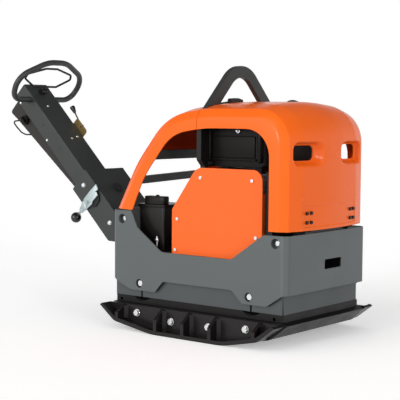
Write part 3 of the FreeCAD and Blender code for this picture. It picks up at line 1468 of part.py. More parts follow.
def make_handle_mount():
    """Bearing lugs on the frame's rear wall."""
    mount = body("handle_mount")
    back = -s.frame_rear
    half = s.bracket_width / 2
    pad(mount, "XZ", -half, half,
        box_outline(back - 12, s.pivot_height - 50, back, s.pivot_height + 50))
    outer = half - s.bracket_wall - s.lug_gap
    for side in (-1, 1):
        span = ordered(side * outer, side * (outer - s.mount_lug))
        pad(mount, "XZ", *span, [
            (back - 11, s.pivot_height - 40), (back - 11, s.pivot_height + 40),
            (-s.pivot_back - 30, s.pivot_height + 30, 29), (-s.pivot_back - 30, s.pivot_height - 30, 29),
        ])
    pocket(mount, "XZ", -half, half,
           Circle(-s.pivot_back, s.pivot_height, s.pin_radius + s.running_fit))

    pin = body("handle_pin")
    place(pin, -s.pivot_back, 0, s.pivot_height)
    reach = half + 12
    pad(pin, "XZ", -reach, reach, Circle(0, 0, s.pin_radius))
    for side in (-1, 1):
        pad(pin, "XZ", *ordered(side * (half + s.seat_gap), side * (half + 6)),
            Circle(0, 0, s.pin_radius + 7))


def bushing_places():
    return [(-s.mount_upper, -s.mount_drop), (-s.mount_lower, -s.mount_drop)]


def make_handle_bracket():
    """Folded bracket at the foot of the drawbar: two cheeks and a web over the drawbar."""
    bracket = body("handle_bracket")
    on_handle(bracket)
    half, top, low = s.bracket_width / 2, s.bracket_top, -s.bracket_low
    pad(bracket, "XZ", -half, half, [
        (-s.bracket_length, top), (10 - s.bracket_length, low), (-80, low, 20), (-45, low + 33, 20),
        (40, low + 45, 30), (40, top, 30),
    ])
    pocket(bracket, "XZ", s.bracket_wall - half, half - s.bracket_wall,
           box_outline(-s.bracket_length, low, s.bracket_length / 8, top - s.bracket_wall))
    pocket(bracket, "XY", top - s.bracket_wall, top,
           box_outline(-40, s.bracket_wall - half, 40, half - s.bracket_wall))
    holes = [Circle(x, z, s.bolt_hole) for x, z in bushing_places()]
    pocket(bracket, "XZ", -half, half, Circle(0, 0, s.pin_radius), *holes)
    pocket(bracket, "XY", top - s.bracket_wall, top, Circle(-s.plug_back, 0, s.grommet_radius - 5))


def make_beam():
    """Drawbar: a folded channel, open below, closed at its upper end."""
    beam = body("handle_beam")
    on_handle(beam)
    half, top = s.beam_width / 2, -s.beam_drop
    low = top - s.beam_depth
    pad(beam, "YZ", -s.beam_end, -s.beam_start, [
        (-half, low), (half, low), (half, top, 8), (-half, top, 8),
    ])
    inner = half - s.beam_wall
    pocket(beam, "YZ", s.beam_wall - s.beam_end, -s.beam_start, [
        (-inner, low), (inner, low), (inner, top - s.beam_wall, 4), (-inner, top - s.beam_wall, 4),
    ])
    holes = [Circle(x, z, s.bolt_hole) for x, z in bushing_places()]
    pocket(beam, "XZ", -half, half, *holes)

    rubbers, bolts = [], []
    cheek = (s.bracket_width / 2).value
    for x, z in bushing_places():
        for side in (-1, 1):
            start = (x.value, side * half.value, z.value)
            end = (x.value, side * (cheek - s.bracket_wall.value), z.value)
            rubbers.append(rod(20, start, end).cut(rod(s.bolt_hole.value, start, end)))
            bolts += hexagon_bolt((x.value, side * cheek, z.value), (0, side, 0),
                                  cheek - half.value + 14, M16)
    web = s.bracket_top.value
    plug = rod(s.grommet_radius.value, (-s.plug_back.value, 0, web), (-s.plug_back.value, 0, web + 5))
    neck = rod(s.grommet_radius.value - 5.5, (-s.plug_back.value, 0, web - s.bracket_wall.value),
               (-s.plug_back.value, 0, web))
    rubbers.append(plug.fuse(neck).removeSplitter())
    on_handle(group("handle_rubbers", rubbers))
    on_handle(group("handle_bolts", bolts))

    cover = body("under_cover")
    on_handle(cover)
    under = low - s.seat_gap
    pad(cover, "XZ", -s.under_cover_width / 2, s.under_cover_width / 2, [
        (15 - s.beam_end, under), (17 - s.beam_end, -s.under_cover_deep, 12),
        (75 - s.beam_end, 9 - s.under_cover_deep, 20), (-s.bracket_length - 30, -s.under_cover_shallow, 12),
        (-s.bracket_length - 20, under),
    ])
    pad(cover, "XY", under - 4, under, box_outline(15 - s.beam_end, -half, -s.bracket_length - 20, half))


def make_handle_loops():
    """Guard loop at the drawbar's end and the travel bail in front of it."""
    loop = body("guard_loop")
    on_handle(loop, -s.loop_back, -s.loop_drop, s.loop_lean)
    start = s.beam_width / 2 + s.seat_gap
    sweep(loop, "XZ", -start, Circle(0, 0, s.loop_radius), "YZ", 0, [
        (start, 0), (s.loop_knee, 0, s.loop_knee_bend), (s.loop_half, s.loop_shoulder, s.loop_side_bend),
        (s.loop_flat, s.loop_rise, s.loop_top_bend), (-s.loop_flat, s.loop_rise, s.loop_top_bend),
        (-s.loop_half, s.loop_shoulder, s.loop_side_bend), (-s.loop_knee, 0, s.loop_knee_bend), (-start, 0),
    ])

    bail = body("travel_bail")
    on_handle(bail, -s.bail_back, s.bail_rise, s.loop_lean + 2)
    rise = 24
    half = sweep(bail, "XZ", 0, Circle(0, rise, s.bail_radius), "YZ", 0, [
        (0, rise), (72, rise, 14), (148, rise + 42, 10), (140, rise + 66, 12), (36, rise + 96, 14),
        (0, rise + 96),
    ])
    planes = {feature.Role: feature for feature in bail.Origin.OriginFeatures}
    both = bail.newObject("PartDesign::Mirrored", "bail_mirrored")
    both.Originals = [half]
    both.MirrorPlane = (planes["XZ_Plane"], [""])
    bail.Tip = both
    doc.recompute()
    boot = s.bail_rise + s.beam_drop - s.seat_gap
    pad(bail, "XZ", -16, 16, Circle(0, 0, boot))
    pad(bail, "XY", 0, rise, Circle(0, 0, 7))


def make_controls():
    """Throttle, lock, key switch and cable hook on the drawbar."""
    top = -s.beam_drop
    half = s.beam_width / 2

    bracket = body("throttle_bracket")
    on_handle(bracket)
    sheet_wall = s.throttle_sheet
    pad(bracket, "XZ", half, half + sheet_wall, [
        (-s.throttle_back - 45, top - 30, 10), (45 - s.throttle_back, top - 30, 10),
        (45 - s.throttle_back, top + 34, 14), (-s.throttle_back - 45, top + 34, 14),
    ])
    pocket(bracket, "XZ", half, half + sheet_wall,
           Circle(-s.throttle_back, top + 20, 4 + s.running_fit))

    lever = body("throttle_lever")
    on_handle(lever, -s.throttle_back, top + 20)
    face = half + sheet_wall + s.seat_gap
    pad(lever, "XZ", face, face + 4, [
        (-104, 12, 4), (8, -10, 6), (12, 6, 6), (-100, 24, 4),
    ])
    pad(lever, "XZ", half - 5, face + 1, Circle(0, 0, 4))
    pad(lever, "XZ", face, face + 14, Circle(-102, 19, 11))

    cheek = -s.bracket_width / 2
    plate = body("lock_plate")
    on_handle(plate)
    pad(plate, "XZ", cheek - 6, cheek, [
        (-s.lock_back - 8, 41, 8), (-s.lock_back + 41, 3, 14), (-s.lock_back + 46, -34, 20),
        (-s.lock_back + 14, -76, 14), (-s.lock_back - 26, -60, 10),
    ])
    pocket(plate, "XZ", cheek - 6, cheek, Circle(-s.lock_back, -s.lock_drop, 6 + s.running_fit))

    lock = body("lock_lever")
    on_handle(lock, -s.lock_back, -s.lock_drop)
    outer = cheek - 6 - s.seat_gap
    pad(lock, "XZ", outer - 6, outer, [
        (-22, 97, 6), (-26, 61, 20), (-23, -4, 10), (-7, -12, 8), (-9, -62), (16, -56), (30, 14, 30),
        (22, 66, 30),
    ])
    pad(lock, "XZ", outer - 1, cheek, Circle(0, 0, 6))
    pad(lock, "XZ", outer - 10, outer - 5, Circle(0, 0, 11))
    pad(lock, "XY", -80, -50, Circle(2, outer - 3, 6))
    knob = lock.newObject("PartDesign::AdditiveSphere", "lock_knob")
    bind(knob, "Radius", s.knob_radius)
    bind(knob, "Placement.Base.x", 2)
    bind(knob, "Placement.Base.y", outer - 3)
    bind(knob, "Placement.Base.z", -s.knob_radius - 76)

    switch = body("key_switch")
    on_handle(switch, -s.switch_back, -s.switch_drop)
    seat = -s.under_cover_width / 2 - s.seat_gap
    pad(switch, "XZ", seat - 14, seat, Circle(0, 0, 22))
    pad(switch, "XZ", seat - 26, seat - 14, box_outline(-17, -5, 17, 5, 4))

    hook = [(-909, -174.5), (-928, -197), (-924, -207), (-891, -206), (-856, -201), (-830, -188), (-805, -163.5)]
    route = [Vector(x, 5 - s.under_cover_width.value / 2, z) for x, z in hook]
    on_handle(group("cable_hook", [bent_rod(3.5, route, 9)]))


def bent_rod(radius, points, bend):
    """Round rod along straight runs joined by tangent arcs."""
    edges, last = [], points[0]
    for before, here, after in zip(points, points[1:], points[2:]):
        back, ahead = (before - here).normalize(), (after - here).normalize()
        half = back.getAngle(ahead) / 2
        reach = bend / math.tan(half)
        middle = (back + ahead).normalize() * (bend / math.sin(half) - bend)
        first, end = here + back * reach, here + ahead * reach
        edges.append(Part.LineSegment(last, first).toShape())
        edges.append(Part.Arc(first, here + middle, end).toShape())
        last = end
    edges.append(Part.LineSegment(last, points[-1]).toShape())
    ring = Part.Wire(Part.makeCircle(radius, points[0], points[1] - points[0]))
    return Part.Wire(edges).makePipeShell([ring], True, True)


# ---- the machine ---------------------------------------------------------------------------------


def build():
    make_base_plate()
    make_extension("extension_plate_right", -1)
    make_extension("extension_plate_left", 1)
    make_belt_plates()
    make_exciter_housing()
    make_exciter_covers()
    make_bearings()
    make_base_bolts()
    rear, front = shafts
    pulley_end = s.belt_centre + s.pulley_width / 2
    make_eccentric_shaft("drive_shaft", rear, pulley_end)
    make_eccentric_shaft("driven_shaft", front, s.housing_half + s.bearing_width - 2)
    tooth = 2 * math.pi / s.gear_teeth.value
    make_gear("drive_gear", rear, 0)
    make_gear("driven_gear", front, tooth / 2)
    make_pulley("exciter_pulley", rear, s.exciter_height, s.exciter_pulley_radius, s.journal_radius)
    make_pulley("clutch_pulley", s.crank_forward, s.crank_height, s.clutch_radius,
                s.crank_radius + s.running_fit)
    make_drive_belt()
    make_isolators()
    make_upper_frame()
    make_deck()
    make_engine()
    make_tank()
    make_guard()
    make_battery()
    make_rear_cover()
    make_hood()
    make_hood_fittings()
    make_cover_fittings()
    make_hoop()
    make_handle_mount()
    make_handle_bracket()
    make_beam()
    make_handle_loops()
    make_controls()


def check_and_write():
    """Stops on any failed object or bad shape, then writes one file per piece."""
    doc.recompute()
    failed = [thing.Name for thing in doc.Objects if {"Invalid", "Error"} & set(thing.State)]
    if failed:
        raise RuntimeError(f"failed: {failed}")
    for node in nodes:
        if node.Shape.isNull() or not node.Shape.isValid() or not node.Shape.Solids:
            raise RuntimeError(f"bad shape: {node.Label}")
    os.makedirs("parts", exist_ok=True)
    for node in nodes:
        node.Shape.exportStep(f"parts/{node.Label}.step")
        print(node.Label, len(node.Shape.Solids), round(node.Shape.Volume / 1000, 1), "cm3")


build()
check_and_write()
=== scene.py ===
# A reversible plate compactor, finished in the order in which it is assembled: base and exciter,
# chassis and engine, tank, guard and battery, hood, drawbar and its levers, then the studio.

import json
import math

import bmesh
import bpy
from mathutils import Matrix, Vector


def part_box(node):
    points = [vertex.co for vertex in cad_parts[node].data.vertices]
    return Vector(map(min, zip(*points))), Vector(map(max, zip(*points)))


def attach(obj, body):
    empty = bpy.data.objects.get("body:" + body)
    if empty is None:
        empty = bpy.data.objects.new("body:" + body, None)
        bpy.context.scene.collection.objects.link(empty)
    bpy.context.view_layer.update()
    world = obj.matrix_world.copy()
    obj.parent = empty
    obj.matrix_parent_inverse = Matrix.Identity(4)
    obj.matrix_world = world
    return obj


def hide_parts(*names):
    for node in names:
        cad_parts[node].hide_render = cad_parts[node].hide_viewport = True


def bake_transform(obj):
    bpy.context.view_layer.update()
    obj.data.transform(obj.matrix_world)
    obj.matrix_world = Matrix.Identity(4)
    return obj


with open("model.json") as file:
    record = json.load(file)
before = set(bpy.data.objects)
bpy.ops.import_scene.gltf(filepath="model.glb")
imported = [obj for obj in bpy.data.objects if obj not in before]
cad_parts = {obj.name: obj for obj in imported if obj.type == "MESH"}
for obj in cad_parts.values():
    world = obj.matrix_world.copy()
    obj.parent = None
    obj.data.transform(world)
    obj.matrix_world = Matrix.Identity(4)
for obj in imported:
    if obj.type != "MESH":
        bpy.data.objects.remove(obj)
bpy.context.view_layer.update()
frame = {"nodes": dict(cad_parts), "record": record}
bpy.ops.object.select_all(action="DESELECT")


# Base plate: one ductile-iron casting with turned-up ends, shot-blasted and sprayed black.
# The sand mould leaves a coarse skin, so the satin paint breaks up into small soft glints.

# A Mix node's colour sockets share their names, so they go by number.
share_in, first_in, second_in, mixed_out = 0, 6, 7, 2


def linear(colour):
    """The four linear values of an sRGB hex colour."""
    channels = [int(colour[i : i + 2], 16) / 255 for i in (1, 3, 5)]
    return [c / 12.92 if c <= 0.04045 else ((c + 0.055) / 1.055) ** 2.4 for c in channels] + [1.0]


def add(material, kind, inputs={}, **settings):
    """Adds one node. An input is a value, or a (node, output) pair to link from."""
    tree = material.node_tree
    node = tree.nodes.new("ShaderNode" + kind)
    for name, value in settings.items():
        setattr(node, name, value)
    for socket, value in inputs.items():
        if isinstance(value, tuple):
            tree.links.new(value[0].outputs[value[1]], node.inputs[socket])
        else:
            node.inputs[socket].default_value = value
    return node


def finish(name, colour, darker, patch, roughness, spread, grain, depth, edge, shader={}):
    """A coated surface. Its colour drifts to a darker one over patches, and its roughness with it, by
    spread. A grain of that depth breaks the gloss, and every edge is rounded. Lengths are in metres.
    shader holds the values that are set on the shader's own sockets."""
    material = bpy.data.materials.new(name)
    material.use_nodes = True
    material.node_tree.nodes.clear()
    place = add(material, "TexCoord")
    drift = add(material, "TexNoise", {"Vector": (place, "Object"), "Scale": 1 / patch, "Detail": 3.0})
    tint = add(
        material,
        "Mix",
        {share_in: (drift, "Fac"), first_in: linear(colour), second_in: linear(darker)},
        data_type="RGBA",
    )
    shine = add(
        material,
        "MapRange",
        {
            "Value": (drift, "Fac"),
            "From Min": 0.3,
            "From Max": 0.7,
            "To Min": roughness - spread,
            "To Max": roughness + spread,
        },
    )
    bumps = add(material, "TexNoise", {"Vector": (place, "Object"), "Scale": 1 / grain, "Detail": 2.0})
    rounded = add(material, "Bevel", {"Radius": edge}, samples=4)
    relief = add(
        material,
        "Bump",
        {"Height": (bumps, "Fac"), "Distance": depth, "Strength": 1.0, "Normal": (rounded, "Normal")},
    )
    surface = add(
        material,
        "BsdfPrincipled",
        {
            "Base Color": (tint, mixed_out),
            "Roughness": (shine, "Result"),
            "Normal": (relief, "Normal"),
            **shader,
        },
    )
    add(material, "OutputMaterial", {"Surface": (surface, "BSDF")})
    return material


def coat(material, *nodes):
    """Gives CAD nodes a finish and leaves their shape alone."""
    for node in nodes:
        for slot in frame["nodes"][node].material_slots:
            slot.material = material


cast_iron_paint = finish(
    "black_paint_on_cast_iron", "#161313", "#121010",
    patch=0.09, roughness=0.4, spread=0.06, grain=0.004, depth=0.0005, edge=0.002,
    shader={"Specular IOR Level": 0.2},
)
coat(cast_iron_paint, "base_plate", "exciter_housing", "exciter_covers")


# Extension plates: welded steel ledges with gussets that widen the base, bolted to its flanks.
# They are dipped in the same black as the base, but rolled steel is smoother than a casting.
# The pulleys and the tank's carrier wear the same paint.
black_steel_paint = finish(
    "satin_black_paint_on_steel", "#1A1717", "#151313",
    patch=0.12, roughness=0.3, spread=0.05, grain=0.0025, depth=0.0002, edge=0.0015,
    shader={"Specular IOR Level": 0.28},
)
coat(
    black_steel_paint,
    "extension_plate_right",
    "extension_plate_left",
    "exciter_pulley",
    "clutch_pulley",
    "tank_carrier",
)


# Base bolts: zinc-plated M16 hexagon bolts for the extension plates, isolators and exciter.
# Electroplated zinc is a pale blue-grey metal whose dull crystals blur every reflection. They are
# too fine to show, so they are drawn about a millimetre wide, here and on the passivated zinc.
zinc_plate = finish(
    "zinc_plated_steel", "#ECEEEE", "#D2D5D7",
    patch=0.012, roughness=0.24, spread=0.05, grain=0.0012, depth=0.0001, edge=0.0008,
    shader={"Metallic": 0.9},
)
coat(zinc_plate, "base_bolts", "frame_bolts", "handle_pin")


# Exciter: two steel shafts with eccentrics, geared together inside the cast housing.
# Journals and teeth are ground, which leaves a fine bright lay with soft reflections. The lay is
# drawn coarser than the wheel leaves it, or it would not show.
ground_steel = finish(
    "ground_steel", "#A4A6A8", "#8C8F92",
    patch=0.02, roughness=0.28, spread=0.05, grain=0.0015, depth=0.00005, edge=0.0005,
    shader={"Metallic": 1.0},
)
coat(ground_steel, "drive_shaft", "drive_gear", "driven_shaft", "driven_gear", "exciter_bearings")


# Isolators, the hood's latch and the drawbar's bumpers: black vulcanised rubber, moulded to shape.
# Rubber is dull, and a slight bloom of dust and wax makes it patchy. Its grain is drawn coarser
# than the mould's.
black_rubber = finish(
    "vulcanised_rubber", "#1B1A1A", "#232221",
    patch=0.03, roughness=0.72, spread=0.08, grain=0.0015, depth=0.0001, edge=0.001,
)
coat(black_rubber, "rubber_isolators", "roof_plug", "hood_latch", "latch_keeper", "handle_rubbers")


# V-belt: rubber over cords, run from the clutch on the floating upper mass to the exciter.
def choose(piece):
    """Selects one piece alone and makes it the active one."""
    bpy.ops.object.select_all(action="DESELECT")
    piece.select_set(True)
    bpy.context.view_layer.objects.active = piece


def edit(piece):
    """Opens one piece for editing."""
    choose(piece)
    bpy.ops.object.mode_set(mode="EDIT")


def duplicate(piece, name):
    """A copy with a mesh of its own."""
    copy = piece.copy()
    copy.data = piece.data.copy()
    copy.name = name
    bpy.context.collection.objects.link(copy)
    return copy


def wear(piece, material):
    """Gives a new piece one material."""
    piece.data.materials.clear()
    piece.data.materials.append(material)


weld = 0.000001
v_belt = duplicate(frame["nodes"]["drive_belt"], "v_belt")
v_belt.parent = None
v_belt.matrix_world = Matrix.Identity(4)
# The copy sheds the marks of the CAD node, which only the node itself carries.
for key in list(v_belt.keys()):
    del v_belt[key]
edit(v_belt)
bpy.ops.mesh.select_all(action="SELECT")
bpy.ops.mesh.remove_doubles(threshold=weld)
bpy.ops.object.mode_set(mode="OBJECT")
wear(v_belt, black_rubber)
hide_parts("drive_belt")
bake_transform(v_belt)


# Chassis: a folded and welded steel tub round the engine, powder coated dark grey.
# The baked powder flows into a fine orange peel that softens the long edge highlights.
# The belt plates below it are painted a darker grey as painted shade, under the chassis's overhang.
grey_powder_coat = finish(
    "dark_grey_powder_coat", "#565C5C", "#525858",
    patch=0.2, roughness=0.4, spread=0.04, grain=0.0016, depth=0.0001, edge=0.002,
)
coat(grey_powder_coat, "upper_frame", "engine_deck", "battery_tray", "cover_brackets")
# Painted shade: the chassis's powder coat set darker for the belt plates in the chassis's shade.
painted_shade_powder_coat = finish(
    "grey_powder_coat_painted_shade", "#484D4D", "#444949",
    patch=0.2, roughness=0.42, spread=0.04, grain=0.0016, depth=0.0001, edge=0.002,
    shader={"Specular IOR Level": 0.4},
)
coat(painted_shade_powder_coat, "belt_plates")


# Cross members, drawbar and guard loop: thicker steel plate and bar, welded and painted.
# Their grey is set darker and duller than the chassis's powder coat, and its orange peel a little longer.
deep_grey, deep_grey_patch = "#343737", "#303333"
deep_grey_paint = finish(
    "deep_grey_paint", deep_grey, deep_grey_patch,
    patch=0.15, roughness=0.44, spread=0.05, grain=0.0018, depth=0.0001, edge=0.0025,
    shader={"Specular IOR Level": 0.4},
)
coat(
    deep_grey_paint,
    "rear_crossbar",
    "rear_brace",
    "handle_mount",
    "handle_bracket",
    "handle_beam",
    "guard_loop",
)


# Lifting hoop: a flat steel bar bent to a gable for the crane's hook, its feet on the engine deck.
# Its grey paint shows above the roof; below it, the legs inside the hood get a near-black painted shade.
shade_line = 0.885
shade_fade = 0.01
hoop_paint = finish(
    "lifting_hoop_paint_with_painted_shade", deep_grey, deep_grey_patch,
    patch=0.15, roughness=0.44, spread=0.05, grain=0.0018, depth=0.0001, edge=0.0025,
    shader={"Specular IOR Level": 0.3},
)
hoop_colour = hoop_paint.node_tree.nodes["Principled BSDF"].inputs["Base Color"]
hoop_grey = hoop_colour.links[0].from_node
hoop_place = add(hoop_paint, "TexCoord")
hoop_height = add(hoop_paint, "SeparateXYZ", {"Vector": (hoop_place, "Object")})
above_roof = add(
    hoop_paint,
    "MapRange",
    {"Value": (hoop_height, "Z"), "From Min": shade_line, "From Max": shade_line + shade_fade},
)
# Painted shade: below the roof line the hoop's colour turns near-black, for the shade inside the hood.
painted_shade_mix = add(
    hoop_paint,
    "Mix",
    {share_in: (above_roof, "Result"), first_in: linear("#110E0D"), second_in: (hoop_grey, mixed_out)},
    data_type="RGBA",
)
hoop_paint.node_tree.links.new(painted_shade_mix.outputs[mixed_out], hoop_colour)
coat(hoop_paint, "lifting_hoop")


# Engine: a die-cast aluminium block with cooling fins, left bare and matt from the die.
# Its sheet covers, starter, filters and muffler are stoved in black enamel, smooth with a low
# gloss. The hood's hinges and their screws wear the same.
cast_aluminium = finish(
    "cast_aluminium", "#8B8D8E", "#7A7C7E",
    patch=0.03, roughness=0.5, spread=0.06, grain=0.002, depth=0.0003, edge=0.001,
    shader={"Metallic": 0.85},
)
coat(cast_aluminium, "engine_block")
sheet_black = finish(
    "black_enamel_on_sheet", "#171515", "#131212",
    patch=0.08, roughness=0.3, spread=0.05, grain=0.002, depth=0.0001, edge=0.001,
    shader={"Specular IOR Level": 0.25},
)
coat(
    sheet_black,
    "fan_housing",
    "engine_shroud",
    "starter_motor",
    "oil_filter",
    "air_filter",
    "muffler",
    "hood_hinge_brackets",
    "hood_hinge_leaves",
    "hood_screws",
)


# Fuel tank, its cap and the key switch: black polyethylene, the tank blow moulded in one piece.
# The skin is waxy and slightly grained, so its highlights are broad and weak.
tank_plastic = finish(
    "blow_moulded_polyethylene", "#130F0D", "#100C0B",
    patch=0.12, roughness=0.34, spread=0.05, grain=0.0018, depth=0.0002, edge=0.002,
    shader={"Specular IOR Level": 0.14},
)
coat(tank_plastic, "fuel_tank", "fuel_cap", "key_switch")


# Belt guard: a pressed steel cover over the belt, held by screws along its rim.
# It is powder coated in the hood's orange, a little flatter than the plastic beside it.
orange_powder_coat = finish(
    "orange_powder_coat", "#FF6A1C", "#FB6619",
    patch=0.25, roughness=0.42, spread=0.04, grain=0.0016, depth=0.0001, edge=0.0015,
    shader={"Specular IOR Level": 0.35},
)
coat(orange_powder_coat, "belt_guard")


# Battery: a black polypropylene case with a lipped lid and a raised cap over its terminals,
# held down by a zinc-plated hook bolt in front. Moulded plastic, satin, its corners catch the light.
battery_plastic = finish(
    "battery_polypropylene", "#171413", "#131110",
    patch=0.06, roughness=0.32, spread=0.05, grain=0.0015, depth=0.0001, edge=0.002,
    shader={"Specular IOR Level": 0.22},
)


hair = 0.00001


def pick(test, kind="FACE"):
    """Selects the faces, edges or corners of the open piece whose middle passes the test."""
    bpy.ops.mesh.select_mode(type=kind)
    bpy.ops.mesh.select_all(action="DESELECT")
    mesh = bpy.context.edit_object.data
    shape = bmesh.from_edit_mesh(mesh)
    for item in {"FACE": shape.faces, "EDGE": shape.edges, "VERT": shape.verts}[kind]:
        corners = [item] if kind == "VERT" else item.verts
        if test(sum((corner.co for corner in corners), Vector()) / len(corners)):
            item.select_set(True)
    shape.select_flush_mode()
    bmesh.update_edit_mesh(mesh)


def wire(name, corners, closed=True):
    """A wire through the corners, bent from a ring of as many points."""
    bpy.ops.mesh.primitive_circle_add(vertices=len(corners), radius=0.1)
    piece = bpy.context.object
    piece.name = name
    for point, corner in zip(piece.data.vertices, corners):
        point.co = corner
    if not closed:
        ends = {0, len(corners) - 1}
        edit(piece)
        bpy.ops.mesh.select_mode(type="EDGE")
        bpy.ops.mesh.select_all(action="DESELECT")
        ring = bmesh.from_edit_mesh(piece.data)
        for edge in ring.edges:
            if {point.index for point in edge.verts} == ends:
                edge.select_set(True)
        bmesh.update_edit_mesh(piece.data)
        bpy.ops.mesh.delete(type="EDGE")
        bpy.ops.object.mode_set(mode="OBJECT")
    return piece


def fasten(piece, kind, **settings):
    """Adds a modifier and applies it at once."""
    choose(piece)
    bpy.ops.object.modifier_add(type=kind)
    modifier = piece.modifiers[-1]
    for name, value in settings.items():
        setattr(modifier, name, value)
    bpy.ops.object.modifier_apply(modifier=modifier.name)


def finished(piece, material, body, slot, *nodes, angle=30):
    """Gives a modelled piece its material, smooth faces and body, and hides the CAD nodes it replaces. The
    slot is not used.
    """
    edit(piece)
    bpy.ops.mesh.select_all(action="SELECT")
    bpy.ops.mesh.remove_doubles(threshold=weld)
    bpy.ops.mesh.normals_make_consistent(inside=False)
    bpy.ops.object.mode_set(mode="OBJECT")
    wear(piece, material)
    bpy.ops.object.shade_smooth_by_angle(angle=math.radians(angle))
    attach(piece, body)
    if nodes:
        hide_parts(*nodes)


def merged(name, *pieces):
    """Joins shapes that are one piece in reality."""
    bpy.ops.object.select_all(action="DESELECT")
    for piece in pieces:
        piece.select_set(True)
    bpy.context.view_layer.objects.active = pieces[0]
    bpy.ops.object.join()
    pieces[0].name = name
    return pieces[0]


def rounded_bar(name, low, high, axis, radius):
    """A bar whose edges along axis (0, 1 or 2 for x, y or z) are rounded; it also cuts openings."""
    low, high = Vector(low), Vector(high)
    bpy.ops.mesh.primitive_cube_add(size=1)
    bar = bpy.context.object
    bar.name = name
    for point in bar.data.vertices:
        point.co = Vector([a + (b - a) * (c + 0.5) for a, b, c in zip(low, high, point.co)])
    edit(bar)
    middle = (low + high) / 2
    pick(lambda co: abs(co[axis] - middle[axis]) < hair, "EDGE")
    bpy.ops.mesh.bevel(offset=radius, segments=8, affect="EDGES")
    bpy.ops.object.mode_set(mode="OBJECT")
    return bar


def moulded_box(name, low, high, corner, edge):
    """A box with upright corners of one radius and all other edges of a smaller one."""
    box = rounded_bar(name, low, high, 2, corner)
    fasten(box, "BEVEL", width=edge, segments=3, limit_method="ANGLE", angle_limit=math.radians(50))
    return box


def turned(name, profile, place, aim=(0, 0, 1), steps=24):
    """Turned on a lathe: (radius, height) corners go once round, then it is set at place along aim."""
    piece = wire(name, [(radius, 0, height) for radius, height in profile], closed=False)
    edit(piece)
    bpy.ops.mesh.select_all(action="SELECT")
    bpy.ops.mesh.spin(steps=steps, angle=2 * math.pi, center=(0, 0, 0), axis=(0, 0, 1))
    bpy.ops.mesh.select_all(action="SELECT")
    bpy.ops.mesh.remove_doubles(threshold=hair)
    bpy.ops.mesh.normals_make_consistent(inside=False)
    bpy.ops.object.mode_set(mode="OBJECT")
    aiming = Vector(aim).to_track_quat("Z", "Y").to_matrix().to_4x4()
    piece.data.transform(Matrix.Translation(Vector(place)) @ aiming)
    return piece


case_low = Vector((-0.338, -0.238, 0.298))
case_high = Vector((-0.2, -0.092, 0.508))
taper_height = 0.43
taper = 0.97
case = moulded_box("battery_case", case_low, case_high, 0.01, 0.003)
edit(case)
bpy.ops.mesh.select_all(action="SELECT")
bpy.ops.mesh.bisect(plane_co=(0, 0, taper_height), plane_no=(0, 0, 1))
pick(lambda co: co.z < taper_height + 0.001, "VERT")
bpy.ops.transform.resize(value=(taper, taper, 1), center_override=(case_low + case_high) / 2)
bpy.ops.object.mode_set(mode="OBJECT")
lid = moulded_box("battery_lid", (-0.344, -0.243, 0.506), (-0.195, -0.088, 0.518), 0.012, 0.002)
cap = moulded_box("battery_cap", (-0.309, -0.24, 0.517), (-0.201, -0.196, 0.552), 0.012, 0.005)
cap_button = turned(
    "battery_cap_button", [(0, 0.006), (0.006, 0.005), (0.009, 0), (0.009, -0.004)], (-0.252, -0.216, 0.552)
)
finished(merged("battery_box", case, lid), battery_plastic, "upper", "black_plastic", "battery")
finished(
    merged("battery_terminal_cap", cap, cap_button),
    battery_plastic,
    "upper",
    "black_plastic",
    "battery_cover",
)
hook_bolt = turned(
    "battery_hook_bolt",
    [(0, 0.012), (0.0035, 0.012), (0.0035, 0.004), (0.0075, 0.004), (0.0075, -0.002), (0.011, -0.002),
     (0.011, -0.004), (0.0035, -0.005), (0.0035, -0.03), (0, -0.03)],
    (-0.229, -0.2465, 0.376),
)
clamp = moulded_box("battery_clamp", (-0.237, -0.25, 0.366), (-0.221, -0.24, 0.371), 0.003, 0.001)
finished(merged("battery_hold_down", hook_bolt, clamp), zinc_plate, "upper", "zinc")


# Tank front: its wall is moulded with two rounded ribs, a raised panel between them and a ledge below.
# A zinc-plated vent is screwed in under the roof.
tank_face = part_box("fuel_tank")[0].y
into_tank = 0.002
panel_rear, panel_front = 0.03, 0.236
panel_foot, panel_top = 0.722, 0.808
panel = moulded_box(
    "tank_panel",
    (panel_rear, tank_face - 0.006, panel_foot),
    (panel_front, tank_face + into_tank, panel_top),
    0.0025,
    0.0025,
)
ledge = moulded_box(
    "tank_ledge",
    (panel_rear - 0.008, tank_face - 0.009, panel_foot - 0.01),
    (panel_front + 0.006, tank_face + into_tank, panel_foot - 0.002),
    0.002,
    0.002,
)
rib_profile = [
    (0, 0.148), (0.006, 0.146), (0.0115, 0.138), (0.0125, 0.12), (0.0125, 0.01), (0.009, 0.002), (0, 0),
]
ribs = [
    turned("tank_rib", rib_profile, (x, tank_face + 0.001, 0.703))
    for x in (panel_rear - 0.024, panel_front + 0.022)
]
finished(merged("tank_front_ribs", panel, ledge, *ribs), tank_plastic, "upper", "black_plastic", angle=45)
vent = turned(
    "tank_vent",
    [(0, 0.016), (0.004, 0.016), (0.0055, 0.014), (0.0055, 0.008), (0.009, 0.007), (0.0095, 0.002),
     (0.0085, 0), (0, 0)],
    (0.155, tank_face - 0.001, 0.829),
    aim=(0, -1, 0),
)
finished(vent, zinc_plate, "upper", "zinc", angle=40)


# Pocket shadows: near-black matt discs, painted shadow on the floor of the round isolator pockets
# in the casting's flanks. They show as dark half-moons under the belt plates' slots.
painted_shadow_black = finish(
    "painted_pocket_shadow", "#060505", "#080707",
    patch=0.05, roughness=0.9, spread=0.04, grain=0.0015, depth=0.0001, edge=0.001,
    shader={"Specular IOR Level": 0.05},
)
pocket_floor = 0.262
pocket_height = 0.182
shadow_disc_radius = 0.066
shadow_disc_stands = 0.0008
shadow_disc_sinks = -0.002
rear_isolator, front_isolator = -0.29, 0.272
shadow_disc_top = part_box("belt_plates")[0].z - 0.0005


